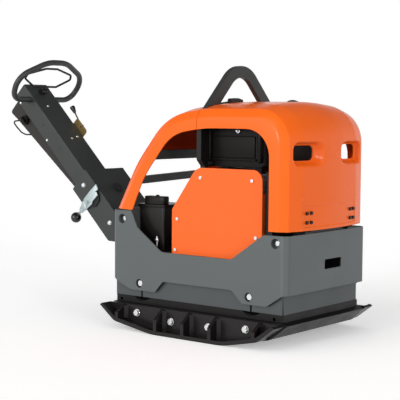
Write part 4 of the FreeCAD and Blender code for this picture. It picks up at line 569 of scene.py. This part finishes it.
def cut(piece, place, normal, fill=False):
    """Cuts the piece flat at place and drops what lies on the normal's side."""
    edit(piece)
    bpy.ops.mesh.select_all(action="SELECT")
    bpy.ops.mesh.bisect(plane_co=place, plane_no=normal, use_fill=fill, clear_outer=True)
    bpy.ops.object.mode_set(mode="OBJECT")


for letter, x, side in (
    ("a", rear_isolator, -1),
    ("b", front_isolator, -1),
    ("c", rear_isolator, 1),
    ("d", front_isolator, 1),
):
    # Each disc is painted shadow in a pocket's floor, cut off level with the belt plates' underside.
    shadow_disc = turned(
        "pocket_shadow_disc_" + letter,
        [(0, shadow_disc_stands), (shadow_disc_radius, shadow_disc_stands), (shadow_disc_radius, shadow_disc_sinks), (0, shadow_disc_sinks)],
        (x, side * pocket_floor, pocket_height),
        aim=(0, side, 0),
        steps=64,
    )
    cut(shadow_disc, (0, 0, shadow_disc_top), (0, 0, 1), fill=True)
    finished(shadow_disc, painted_shadow_black, "base", "rubber", angle=40)


# Hood and rear cover: one band rotationally moulded in polyethylene, orange right through,
# then cut in two at the seam. A flat bevel runs between two soft creases along both shoulders.
# The thick skin is smooth and satin outside, and matt inside where it lay off the mould; the inside is also
# painted a darker red as painted shade.
orange_moulding = finish(
    "moulded_orange_polyethylene", "#FF6D1A", "#FB6817",
    patch=0.3, roughness=0.26, spread=0.03, grain=0.003, depth=0.00006, edge=0.002,
    shader={"Specular IOR Level": 0.18, "Coat Weight": 0.12, "Coat Roughness": 0.12},
)
# Painted shade: the inside's colour is a darker, redder orange than the outside, for the shade within the
# hood.
orange_inside_painted_shade = finish(
    "matt_inside_with_painted_shade", "#D8430E", "#C63C0B",
    patch=0.2, roughness=0.85, spread=0.05, grain=0.004, depth=0.0003, edge=0.002,
    shader={"Specular IOR Level": 0.05},
)
hood_low, hood_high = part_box("front_hood")
cover_low, cover_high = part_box("rear_cover")
hood_front, half_width, roof_top = hood_high
skin_thickness = 0.005
slack = 0.0005

# The band's section, level at the hood's foot, from the side flange over the bevel to the middle.
flange_depth = 0.107
flange_edge = hood_front - flange_depth
crown_radius = 1.252
crown_reach = 0.116
slope_start, slope = 0.4734, 0.093
fall_start, extra_fall = 0.19, 0.15
recess_half = 0.189
recess_edge = 0.003


def crown(y):
    """How far forward the skin lies at y: crowned in the middle, sloping, then falling off more."""
    forward = hood_front - y * y / (2 * crown_radius) if y <= crown_reach else slope_start - slope * y
    return forward - extra_fall * max(0, y - fall_start)


shoulder_corners = [
    (flange_edge, half_width),
    (0.4, half_width),
    (0.4048, 0.2833),
    (0.4092, 0.2813),
    (0.4343, 0.2647),
    (0.4378, 0.2615),
]
columns = [0.2571, 0.24, 0.225, 0.21, recess_half + 0.004, recess_half, 0.18]
columns += [0.02 * step for step in range(8, 0, -1)]
right_side = [(x, -y) for x, y in shoulder_corners] + [(crown(y), -y) for y in columns]
left_side = [(x, -y) for x, y in reversed(right_side)]
section = right_side + [(hood_front, 0)] + left_side
moulded_band = wire("moulded_band", [(x, y, hood_low.z) for x, y in section], closed=False)

# The section is drawn up the front, over the roof and down the rear legs.
front_bend = 0.165
bend_x = hood_front - front_bend
bend_z = roof_top - front_bend
roof_break, roof_radius, roof_fall = 0.1027, 0.9, 9.11
roof_brow, leg_brow = (-0.181, 0.912), (-0.35, 0.7072)
rear_bends = ((roof_brow, 0.3, 41.36, 12), (leg_brow, 0.6, 11.19, 6))
leg_foot = (-0.4785, 0.4687)
recess_foot, recess_top = 0.465, 0.545
dish_rows = [0.682 + 0.02 * row for row in range(5)]
edit(moulded_band)
bpy.ops.mesh.select_all(action="SELECT")
reached = Vector((hood_front, 0, hood_low.z))


def run_to(x, z):
    """Extrudes the section straight on to (x, z)."""
    global reached
    step = Vector((x, 0, z)) - reached
    bpy.ops.mesh.extrude_region_move(TRANSFORM_OT_translate={"value": step})
    reached = Vector((x, 0, z))


def bend(centre_x, centre_z, degrees, steps):
    """Spins the section on round a centre."""
    global reached
    centre = Vector((centre_x, 0, centre_z))
    bpy.ops.mesh.spin(steps=steps, angle=math.radians(degrees), center=centre, axis=(0, 1, 0))
    reached = centre + Matrix.Rotation(math.radians(-degrees), 3, "Y") @ (reached - centre)


for height in (
    recess_foot - recess_edge,
    recess_foot,
    recess_top,
    recess_top + recess_edge,
    *dish_rows,
    bend_z,
):
    run_to(hood_front, height)
bend(bend_x, bend_z, 90, 24)
for x in (0.285, 0.268, 0.251, roof_break):
    run_to(x, roof_top)
bend(roof_break, roof_top - roof_radius, roof_fall, 6)
heading = math.radians(roof_fall)
for brow, radius, degrees, steps in rear_bends:
    reach = radius * math.tan(math.radians(degrees / 2))
    run_to(brow[0] + reach * math.cos(heading), brow[1] + reach * math.sin(heading))
    centre = reached + radius * Vector((math.sin(heading), 0, -math.cos(heading)))
    bend(centre.x, centre.z, degrees, steps)
    heading += math.radians(degrees)
run_to(*leg_foot)
bpy.ops.mesh.select_all(action="SELECT")
bpy.ops.mesh.remove_doubles(threshold=hair)
bpy.ops.mesh.normals_make_consistent(inside=False)
bpy.ops.object.mode_set(mode="OBJECT")

# The side window's upper front corner is rounded by drawing the flange's edge on to an arc.
fillet_radius = 0.11
window_top = roof_top - flange_depth
fillet = Vector((flange_edge - fillet_radius, 0, window_top - fillet_radius))
inner_bend = front_bend - flange_depth
for point in moulded_band.data.vertices:
    x, y, z = point.co
    if abs(y) < half_width - slack or x < fillet.x - slack or z < fillet.z - slack:
        continue
    on_upright = x < flange_edge + slack and z < bend_z + slack
    on_roof = z < window_top + slack and x < bend_x + slack
    if on_upright or on_roof or math.hypot(x - bend_x, z - bend_z) < inner_bend + slack:
        spoke = Vector((x, 0, z)) - fillet
        if spoke.length > fillet_radius:
            spoke = spoke.normalized() * fillet_radius
            point.co = (fillet.x + spoke.x, y, fillet.z + spoke.z)

# The rear legs' flanges are wider near their feet.
leg_out = Vector((-math.sin(heading), 0, math.cos(heading)))
leg_bend = Vector((leg_brow[0], 0, leg_brow[1]))
wide_below = 0.58
widening = 0.014
for point in moulded_band.data.vertices:
    depth = (point.co - leg_bend).dot(leg_out)
    on_flange_edge = abs(depth + flange_depth) < 0.003 and abs(point.co.y) > half_width - slack
    if on_flange_edge and point.co.z < wide_below:
        point.co -= widening * leg_out
if max(moulded_band.data.polygons, key=lambda face: face.center.x).normal.x < 0:
    moulded_band.data.flip_normals()

hood_shell = duplicate(moulded_band, "moulded_hood")
cover_shell = duplicate(moulded_band, "moulded_rear_cover")
bpy.data.objects.remove(moulded_band)
cut(hood_shell, (hood_low.x, 0, 0), (-1, 0, 0))
cut(cover_shell, (cover_high.x, 0, 0), (1, 0, 0))
cut(cover_shell, (0, 0, cover_low.z), (0, 0, -1))

# Two hand holes sink into dishes in the hood's front, and a shallow recess seats the hinge screws.
front_face_from = 0.42
dish_depth = 0.026
dish_low, dish_high, dish_corner = (0.056, 0.694), (0.244, 0.794), 0.034
hole_low, hole_high = 0.7185, 0.7775
hole_inner, hole_outer = 0.1, 0.227
recess_depth = 0.002


def beyond(y, z, low, high, corner):
    """Distance outside a rounded rectangle, negative inside it."""
    across = abs(y - (low[0] + high[0]) / 2) - (high[0] - low[0]) / 2 + corner
    up = abs(z - (low[1] + high[1]) / 2) - (high[1] - low[1]) / 2 + corner
    return math.hypot(max(across, 0), max(up, 0)) + min(max(across, up), 0) - corner


edit(hood_shell)
pick(lambda co: co.x > front_face_from and 0.03 < abs(co.y) < 0.256 and dish_rows[0] < co.z < 0.8)
bpy.ops.mesh.subdivide(number_cuts=4, smoothness=0)
bpy.ops.object.mode_set(mode="OBJECT")
for point in hood_shell.data.vertices:
    x, y, z = point.co
    if x < front_face_from:
        continue
    if abs(y) < recess_half + slack and recess_foot - slack < z < recess_top + slack:
        point.co.x -= recess_depth
    beyond_hole = max(0, beyond(abs(y), z, (hole_inner, hole_low), (hole_outer, hole_high), 0.022))
    within_dish = -beyond(abs(y), z, dish_low, dish_high, dish_corner)
    if within_dish > 0:
        share = within_dish / (beyond_hole + within_dish)
        point.co.x -= dish_depth * share * share * (3 - 2 * share)
for shell in (hood_shell, cover_shell):
    shell.data.materials.append(orange_moulding)
    shell.data.materials.append(orange_inside_painted_shade)
    fasten(shell, "SOLIDIFY", thickness=skin_thickness, offset=-1, use_even_offset=True, material_offset=1)


def open_up(piece, *bars):
    """Cuts each bar's shape out of the piece."""
    for bar in bars:
        fasten(piece, "BOOLEAN", operation="DIFFERENCE", solver="EXACT", object=bar)
        bpy.data.objects.remove(bar)


def on_both_sides(inner, outer):
    """The same stretch of the width, on the right and on the left."""
    return ((-outer, -inner), (inner, outer))


notch_outer = 0.242
notch_foot, notch_top = 0.8, 0.97
hand_holes = [
    rounded_bar("hand_hole", (0.38, low, hole_low), (0.5, high, hole_high), 0, 0.024)
    for low, high in on_both_sides(hole_inner, hole_outer)
]
hood_notches = [
    rounded_bar("notch", (0, low, notch_foot), (0.023, high, notch_top), 2, 0.001)
    for low, high in on_both_sides(0.111, notch_outer)
]
cover_notches = [
    rounded_bar("notch", (-0.007, low, notch_foot), (0.02, high, notch_top), 2, 0.001)
    for low, high in on_both_sides(0.133, notch_outer)
]
leg_gap = rounded_bar("leg_gap", (-0.54, -0.23, 0.4), (-0.31, 0.23, 0.7), 0, 0.018)
open_up(hood_shell, *hand_holes, *hood_notches)
open_up(cover_shell, *cover_notches, leg_gap)
for shell, node, body in ((hood_shell, "front_hood", "hood"), (cover_shell, "rear_cover", "upper")):
    choose(shell)
    bpy.ops.object.shade_smooth_by_angle(angle=math.radians(24))
    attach(shell, body)
    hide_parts(node)


# Under cover: a brown-black ABS housing, moulded with a fine grain, that sits below the drawbar.
# The grain makes it duller than the paint above it, and is drawn coarser than the mould's to show.
under_cover_plastic = finish(
    "brown_black_abs", "#26211F", "#211C1B",
    patch=0.08, roughness=0.5, spread=0.05, grain=0.0015, depth=0.0001, edge=0.0015,
    shader={"Specular IOR Level": 0.35},
)
coat(under_cover_plastic, "under_cover")


# Bracket bolts: M10 hexagon bolts with washers, zinc plated like the base bolts.
# They go through the bracket's sides into the drawbar, two on each side.
bracket_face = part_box("handle_bracket")[1].y
bolt_profile = [
    (0, 0.0085), (0.0072, 0.0085), (0.0092, 0.0075), (0.0092, 0.002), (0.005, 0.002), (0.005, -0.05),
    (0, -0.05),
]
washer_profile = [(0.0045, 0.002), (0.0098, 0.002), (0.0104, 0.0014), (0.0104, 0), (0.0045, 0)]
for name, x, z, side in (
    ("bracket_bolt_rear_right", -0.767, 0.5705, -1),
    ("bracket_bolt_rear_left", -0.767, 0.5705, 1),
    ("bracket_bolt_front_right", -0.607, 0.411, -1),
    ("bracket_bolt_front_left", -0.607, 0.411, 1),
):
    seat = Vector((x, side * bracket_face, z))
    head = turned(name, bolt_profile, seat, aim=(0, side, 0), steps=6)
    bolt_washer = turned(name + "_washer", washer_profile, seat, aim=(0, side, 0))
    stands_for = ["handle_bolts"] if name == "bracket_bolt_rear_right" else []
    finished(merged(name, head, bolt_washer), zinc_plate, "handle", "zinc", *stands_for)


# Lock lever: a laser-cut plate, zinc plated with a blue passivation, with a hook that drops over
# the notched black plate behind it. A black phenolic ball is screwed on its thin rod.
blue_zinc = finish(
    "blue_passivated_zinc", "#BFCACB", "#A6B4B6",
    patch=0.014, roughness=0.4, spread=0.07, grain=0.0012, depth=0.0001, edge=0.0006,
    shader={"Metallic": 0.8},
)
phenolic = finish(
    "black_phenolic", "#171514", "#131111",
    patch=0.02, roughness=0.16, spread=0.03, grain=0.0015, depth=0.00005, edge=0.0005,
    shader={"Specular IOR Level": 0.6},
)
coat(black_steel_paint, "lock_plate", "travel_bail", "cable_hook")
joint_places = {
    joint["name"]: joint["pos_m"] for joint in frame["record"]["behaviour"]["joints"] if "pos_m" in joint
}
drawbar_pin = Vector(joint_places["handle_tilt"])
along = Vector((1, 0, -1)).normalized()
outwards = Vector((1, 0, 1)).normalized()


def on_drawbar(x, y, z):
    """A point measured along the tilted drawbar from its hinge pin, and up out of its top face."""
    return drawbar_pin + x * along + Vector((0, y, 0)) + z * outwards


def plate(name, corners, thickness, push):
    """Flat plate: its outline filled, then pushed out to its thickness along y."""
    piece = wire(name, corners)
    edit(piece)
    bpy.ops.mesh.select_all(action="SELECT")
    bpy.ops.mesh.edge_face_add()
    bpy.ops.mesh.extrude_region_move(TRANSFORM_OT_translate={"value": (0, push * thickness, 0)})
    bpy.ops.mesh.select_all(action="SELECT")
    bpy.ops.mesh.normals_make_consistent(inside=False)
    bpy.ops.object.mode_set(mode="OBJECT")
    fasten(piece, "BEVEL", width=0.0008, segments=2, limit_method="ANGLE", angle_limit=math.radians(40))
    return piece


blade_back = -0.1315
rod_line = -0.1345
blade_corners = [
    (-0.301, 0.044), (-0.276, 0.034), (-0.281, 0.015), (-0.273, 0.021), (-0.26, 0.015), (-0.261, -0.027),
    (-0.254, -0.037), (-0.261, -0.079), (-0.267, -0.111), (-0.29, -0.113), (-0.295, -0.1),
    (-0.295, -0.072), (-0.305, -0.059), (-0.305, -0.001),
]
fold_corners = [(-0.301, -0.062), (-0.262, -0.072), (-0.266, -0.09), (-0.298, -0.084)]
lock_blade = plate("lock_blade", [on_drawbar(x, blade_back, z) for x, z in blade_corners], 0.006, -1)
lock_pivot = turned(
    "lock_pivot",
    [(0, 0.0165), (0.005, 0.0165), (0.006, 0.015), (0.006, 0.0125), (0.011, 0.0125), (0.011, 0.0065),
     (0.014, 0.006), (0.014, 0), (0, 0)],
    on_drawbar(-0.281, blade_back, -0.055),
    aim=(0, -1, 0),
)
blade_fold = plate("lock_fold", [on_drawbar(x, blade_back - 0.0057, z) for x, z in fold_corners], 0.003, -1)
ball_rod = turned(
    "lock_rod",
    [(0, 0), (0.006, 0), (0.0065, 0.002), (0.0065, 0.026), (0.0045, 0.028), (0.0045, 0.046), (0, 0.046)],
    on_drawbar(-0.2785, rod_line, -0.092),
    aim=-outwards,
)
blade = merged("lock_lever_blade", lock_blade, lock_pivot, blade_fold, ball_rod)
finished(blade, blue_zinc, "lock", "zinc", "lock_lever")
ball_radius = 0.024
ball_turns = [math.radians(degrees) for degrees in range(0, 157, 12)]
ball_profile = [(ball_radius * math.sin(turn), -ball_radius * math.cos(turn)) for turn in ball_turns]
ball_profile += [(0.0085, 0.0225), (0.008, 0.027), (0.0046, 0.027)]
ball_knob = turned("lock_ball", ball_profile, on_drawbar(-0.279, rod_line, -0.155), aim=outwards)
finished(ball_knob, phenolic, "lock", "black_plastic", angle=50)


# Throttle: a bent plate, zinc plated with a yellow passivation, screwed to the drawbar's far side.
# A thin black lever with a conical hand knob turns on it; the film on the zinc shifts in tint.
yellow_zinc = finish(
    "yellow_passivated_zinc", "#C2A468", "#A08A62",
    patch=0.018, roughness=0.36, spread=0.07, grain=0.0012, depth=0.0001, edge=0.0008,
    shader={"Metallic": 0.9},
)
coat(yellow_zinc, "throttle_bracket")
lever_start = on_drawbar(-0.69, 0.081, 0.008)
lever_end = on_drawbar(-0.786, 0.081, 0.027)
lever_rod = turned(
    "throttle_rod",
    [(0, 0), (0.0035, 0), (0.0035, 0.075), (0.006, 0.078), (0.0075, 0.082), (0.012, 0.104),
     (0.0125, 0.109), (0.0105, 0.113), (0.004, 0.115), (0, 0.115)],
    lever_start,
    aim=(lever_end - lever_start).normalized(),
)
lever_hub = turned(
    "throttle_hub",
    [(0, -0.006), (0.009, -0.006), (0.011, -0.004), (0.011, 0.003), (0.006, 0.004), (0.006, 0.008),
     (0, 0.008)],
    on_drawbar(-0.69, 0.0825, 0.008),
    aim=(0, 1, 0),
)
hand_lever = merged("throttle_hand_lever", lever_rod, lever_hub)
finished(hand_lever, phenolic, "throttle", "black_plastic", "throttle_lever", angle=40)


# Small fittings of the drawbar: zinc screws along its side and top, the guard loop's end washers
# in the drawbar's grey, and the black plugs of two unused holes.
drawbar_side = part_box("handle_beam")[0].y
screw_profile = [(0, 0.0035), (0.0035, 0.0033), (0.0058, 0.0018), (0.0066, 0.0002), (0.0066, -0.0005)]
plug_profile = [(0, 0.0006), (0.003, 0.0006), (0.0042, 0.0002), (0.0042, -0.0004)]
loop_washer_profile = [
    (0.0135, 0.0025), (0.0165, 0.0025), (0.0175, 0.0015), (0.0175, -0.0005), (0.0135, -0.0005),
]
for name, place, aim in (
    ("side_screw_upper", on_drawbar(-0.944, drawbar_side, -0.09), (0, -1, 0)),
    ("side_screw_lower", on_drawbar(-0.697, drawbar_side, -0.087), (0, -1, 0)),
    ("side_screw_foot", on_drawbar(-0.402, drawbar_side, -0.062), (0, -1, 0)),
    ("top_screw_outer", on_drawbar(-0.846, -0.017, -0.012), outwards),
    ("top_screw_rear", on_drawbar(-0.636, -0.007, -0.012), outwards),
    ("top_screw_front", on_drawbar(-0.645, 0.033, -0.012), outwards),
):
    finished(turned(name, screw_profile, place, aim, steps=12), zinc_plate, "handle", "zinc")
for letter, distance in (("a", -0.763), ("b", -0.613)):
    place = on_drawbar(distance, drawbar_side - slack, -0.055)
    plug = turned("hole_plug_" + letter, plug_profile, place, aim=(0, -1, 0), steps=12)
    finished(plug, black_rubber, "handle", "rubber")
for letter, side in (("a", -1), ("b", 1)):
    place = on_drawbar(-0.918, -side * drawbar_side, -0.046)
    loop_washer = turned("loop_washer_" + letter, loop_washer_profile, place, aim=(0, side, 0))
    finished(loop_washer, deep_grey_paint, "handle", "grey_paint")


# Studio: a white floor that keeps the shadow, a white horizon under a darker ceiling, soft lamps.
# The eye and the paint's gloss see the white horizon; the ceiling keeps upward faces deep in tone.
floor_size = 60
floor_white = 0.7
floor_glow = 0.34
bpy.ops.mesh.primitive_plane_add(size=floor_size, location=(0, 0, 0))
floor = bpy.context.object
floor.name = "studio_floor"
floor_paint = bpy.data.materials.new("white_floor")
floor_paint.use_nodes = True
floor_paint.node_tree.nodes.clear()
floor_ray = add(floor_paint, "LightPath")
facing = {0: (floor_ray, "Is Camera Ray"), 1: (floor_ray, "Is Glossy Ray")}
facing = add(floor_paint, "Math", facing, operation="MAXIMUM")
through = {0: (facing, "Value"), 1: (floor_ray, "Is Transmission Ray")}
seen = add(floor_paint, "Math", through, operation="MAXIMUM")
white = add(floor_paint, "MapRange", {"Value": (seen, "Value"), "To Min": floor_white, "To Max": 1.0})
lift = add(floor_paint, "Math", {0: (seen, "Value"), 1: floor_glow}, operation="MULTIPLY")
glow = add(floor_paint, "Emission", {"Color": linear("#FFFFFF"), "Strength": (lift, "Value")})
level_white = {channel: (white, "Result") for channel in ("Red", "Green", "Blue")}
shade = add(floor_paint, "CombineColor", level_white)
matt = add(floor_paint, "BsdfDiffuse", {"Color": (shade, "Color")})
both = add(floor_paint, "AddShader", {0: (matt, "BSDF"), 1: (glow, "Emission")})
add(floor_paint, "OutputMaterial", {"Surface": (both, "Shader")})
floor.data.materials.append(floor_paint)

horizon_gloss, ceiling_gloss = 1.0, 0.15
horizon_light, ceiling_light = 0.75, 0.35
world = bpy.data.worlds.new("white_surround")
bpy.context.scene.world = world
world.use_nodes = True
world.node_tree.nodes.clear()
sky_ray = add(world, "LightPath")
toward = add(world, "TexCoord")
rise = add(world, "SeparateXYZ", {"Vector": (toward, "Generated")})
ceiling = add(
    world,
    "MapRange",
    {
        "Value": (rise, "Z"),
        "From Min": 0.12,
        "From Max": 0.5,
        "To Min": horizon_gloss,
        "To Max": ceiling_gloss,
    },
)
around = add(
    world,
    "MapRange",
    {"Value": (rise, "Z"), "From Max": 0.8, "To Min": horizon_light, "To Max": ceiling_light},
)
mirrored = {0: (sky_ray, "Is Glossy Ray"), 1: (sky_ray, "Is Transmission Ray")}
bounced = add(world, "Math", mirrored, operation="MAXIMUM")
gloss = add(world, "Math", {0: (bounced, "Value"), 1: (ceiling, "Result")}, operation="MULTIPLY")
direct = add(world, "Math", {0: 1.0, 1: (bounced, "Value")}, operation="SUBTRACT")
plain = add(world, "Math", {0: (direct, "Value"), 1: (around, "Result")}, operation="MULTIPLY")
level = add(world, "Math", {0: (gloss, "Value"), 1: (plain, "Value")}, operation="ADD")
whole = {0: (level, "Value"), 1: (sky_ray, "Is Camera Ray")}
strength = add(world, "Math", whole, operation="MAXIMUM")
sky = add(world, "Background", {"Color": linear("#FFFFFF"), "Strength": (strength, "Value")})
add(world, "OutputWorld", {"Surface": (sky, "Background")})


def lamp(name, aim, strength, spread):
    """A distant soft lamp that shines along aim; spread is its apparent size in degrees."""
    bpy.ops.object.light_add(type="SUN")
    light = bpy.context.object
    light.name = name
    light.rotation_euler = Vector(aim).to_track_quat("-Z", "Y").to_euler()
    light.data.energy = strength
    light.data.angle = math.radians(spread)


lamp("key_lamp", (0.2, 0.9, -0.35), strength=1.1, spread=60)
lamp("fill_lamp", (-0.95, 0.2, -0.15), strength=0.6, spread=60)
lamp("side_edge_lamp", (0.12, 0.98, -0.15), strength=0.8, spread=7)
lamp("front_edge_lamp", (-0.93, 0.36, -0.15), strength=0.5, spread=7)

# Camera: at hip height off the front right corner, with a long lens. Angles in degrees.
yaw, pitch, roll = 38.56, 4.28, 0.41
stand = Vector((2.9566, -3.9586, 0.9051))
bpy.ops.object.camera_add(location=stand)
camera = bpy.context.object
camera.data.lens = 106.72
camera.data.sensor_width = 36
camera.matrix_world = (
    Matrix.Translation(stand)
    @ Matrix.Rotation(math.radians(yaw), 4, "Z")
    @ Matrix.Rotation(math.radians(90 - pitch), 4, "X")
    @ Matrix.Rotation(math.radians(roll), 4, "Z")
)
bpy.context.scene.camera = camera
bpy.context.scene.view_settings.view_transform = "Standard"
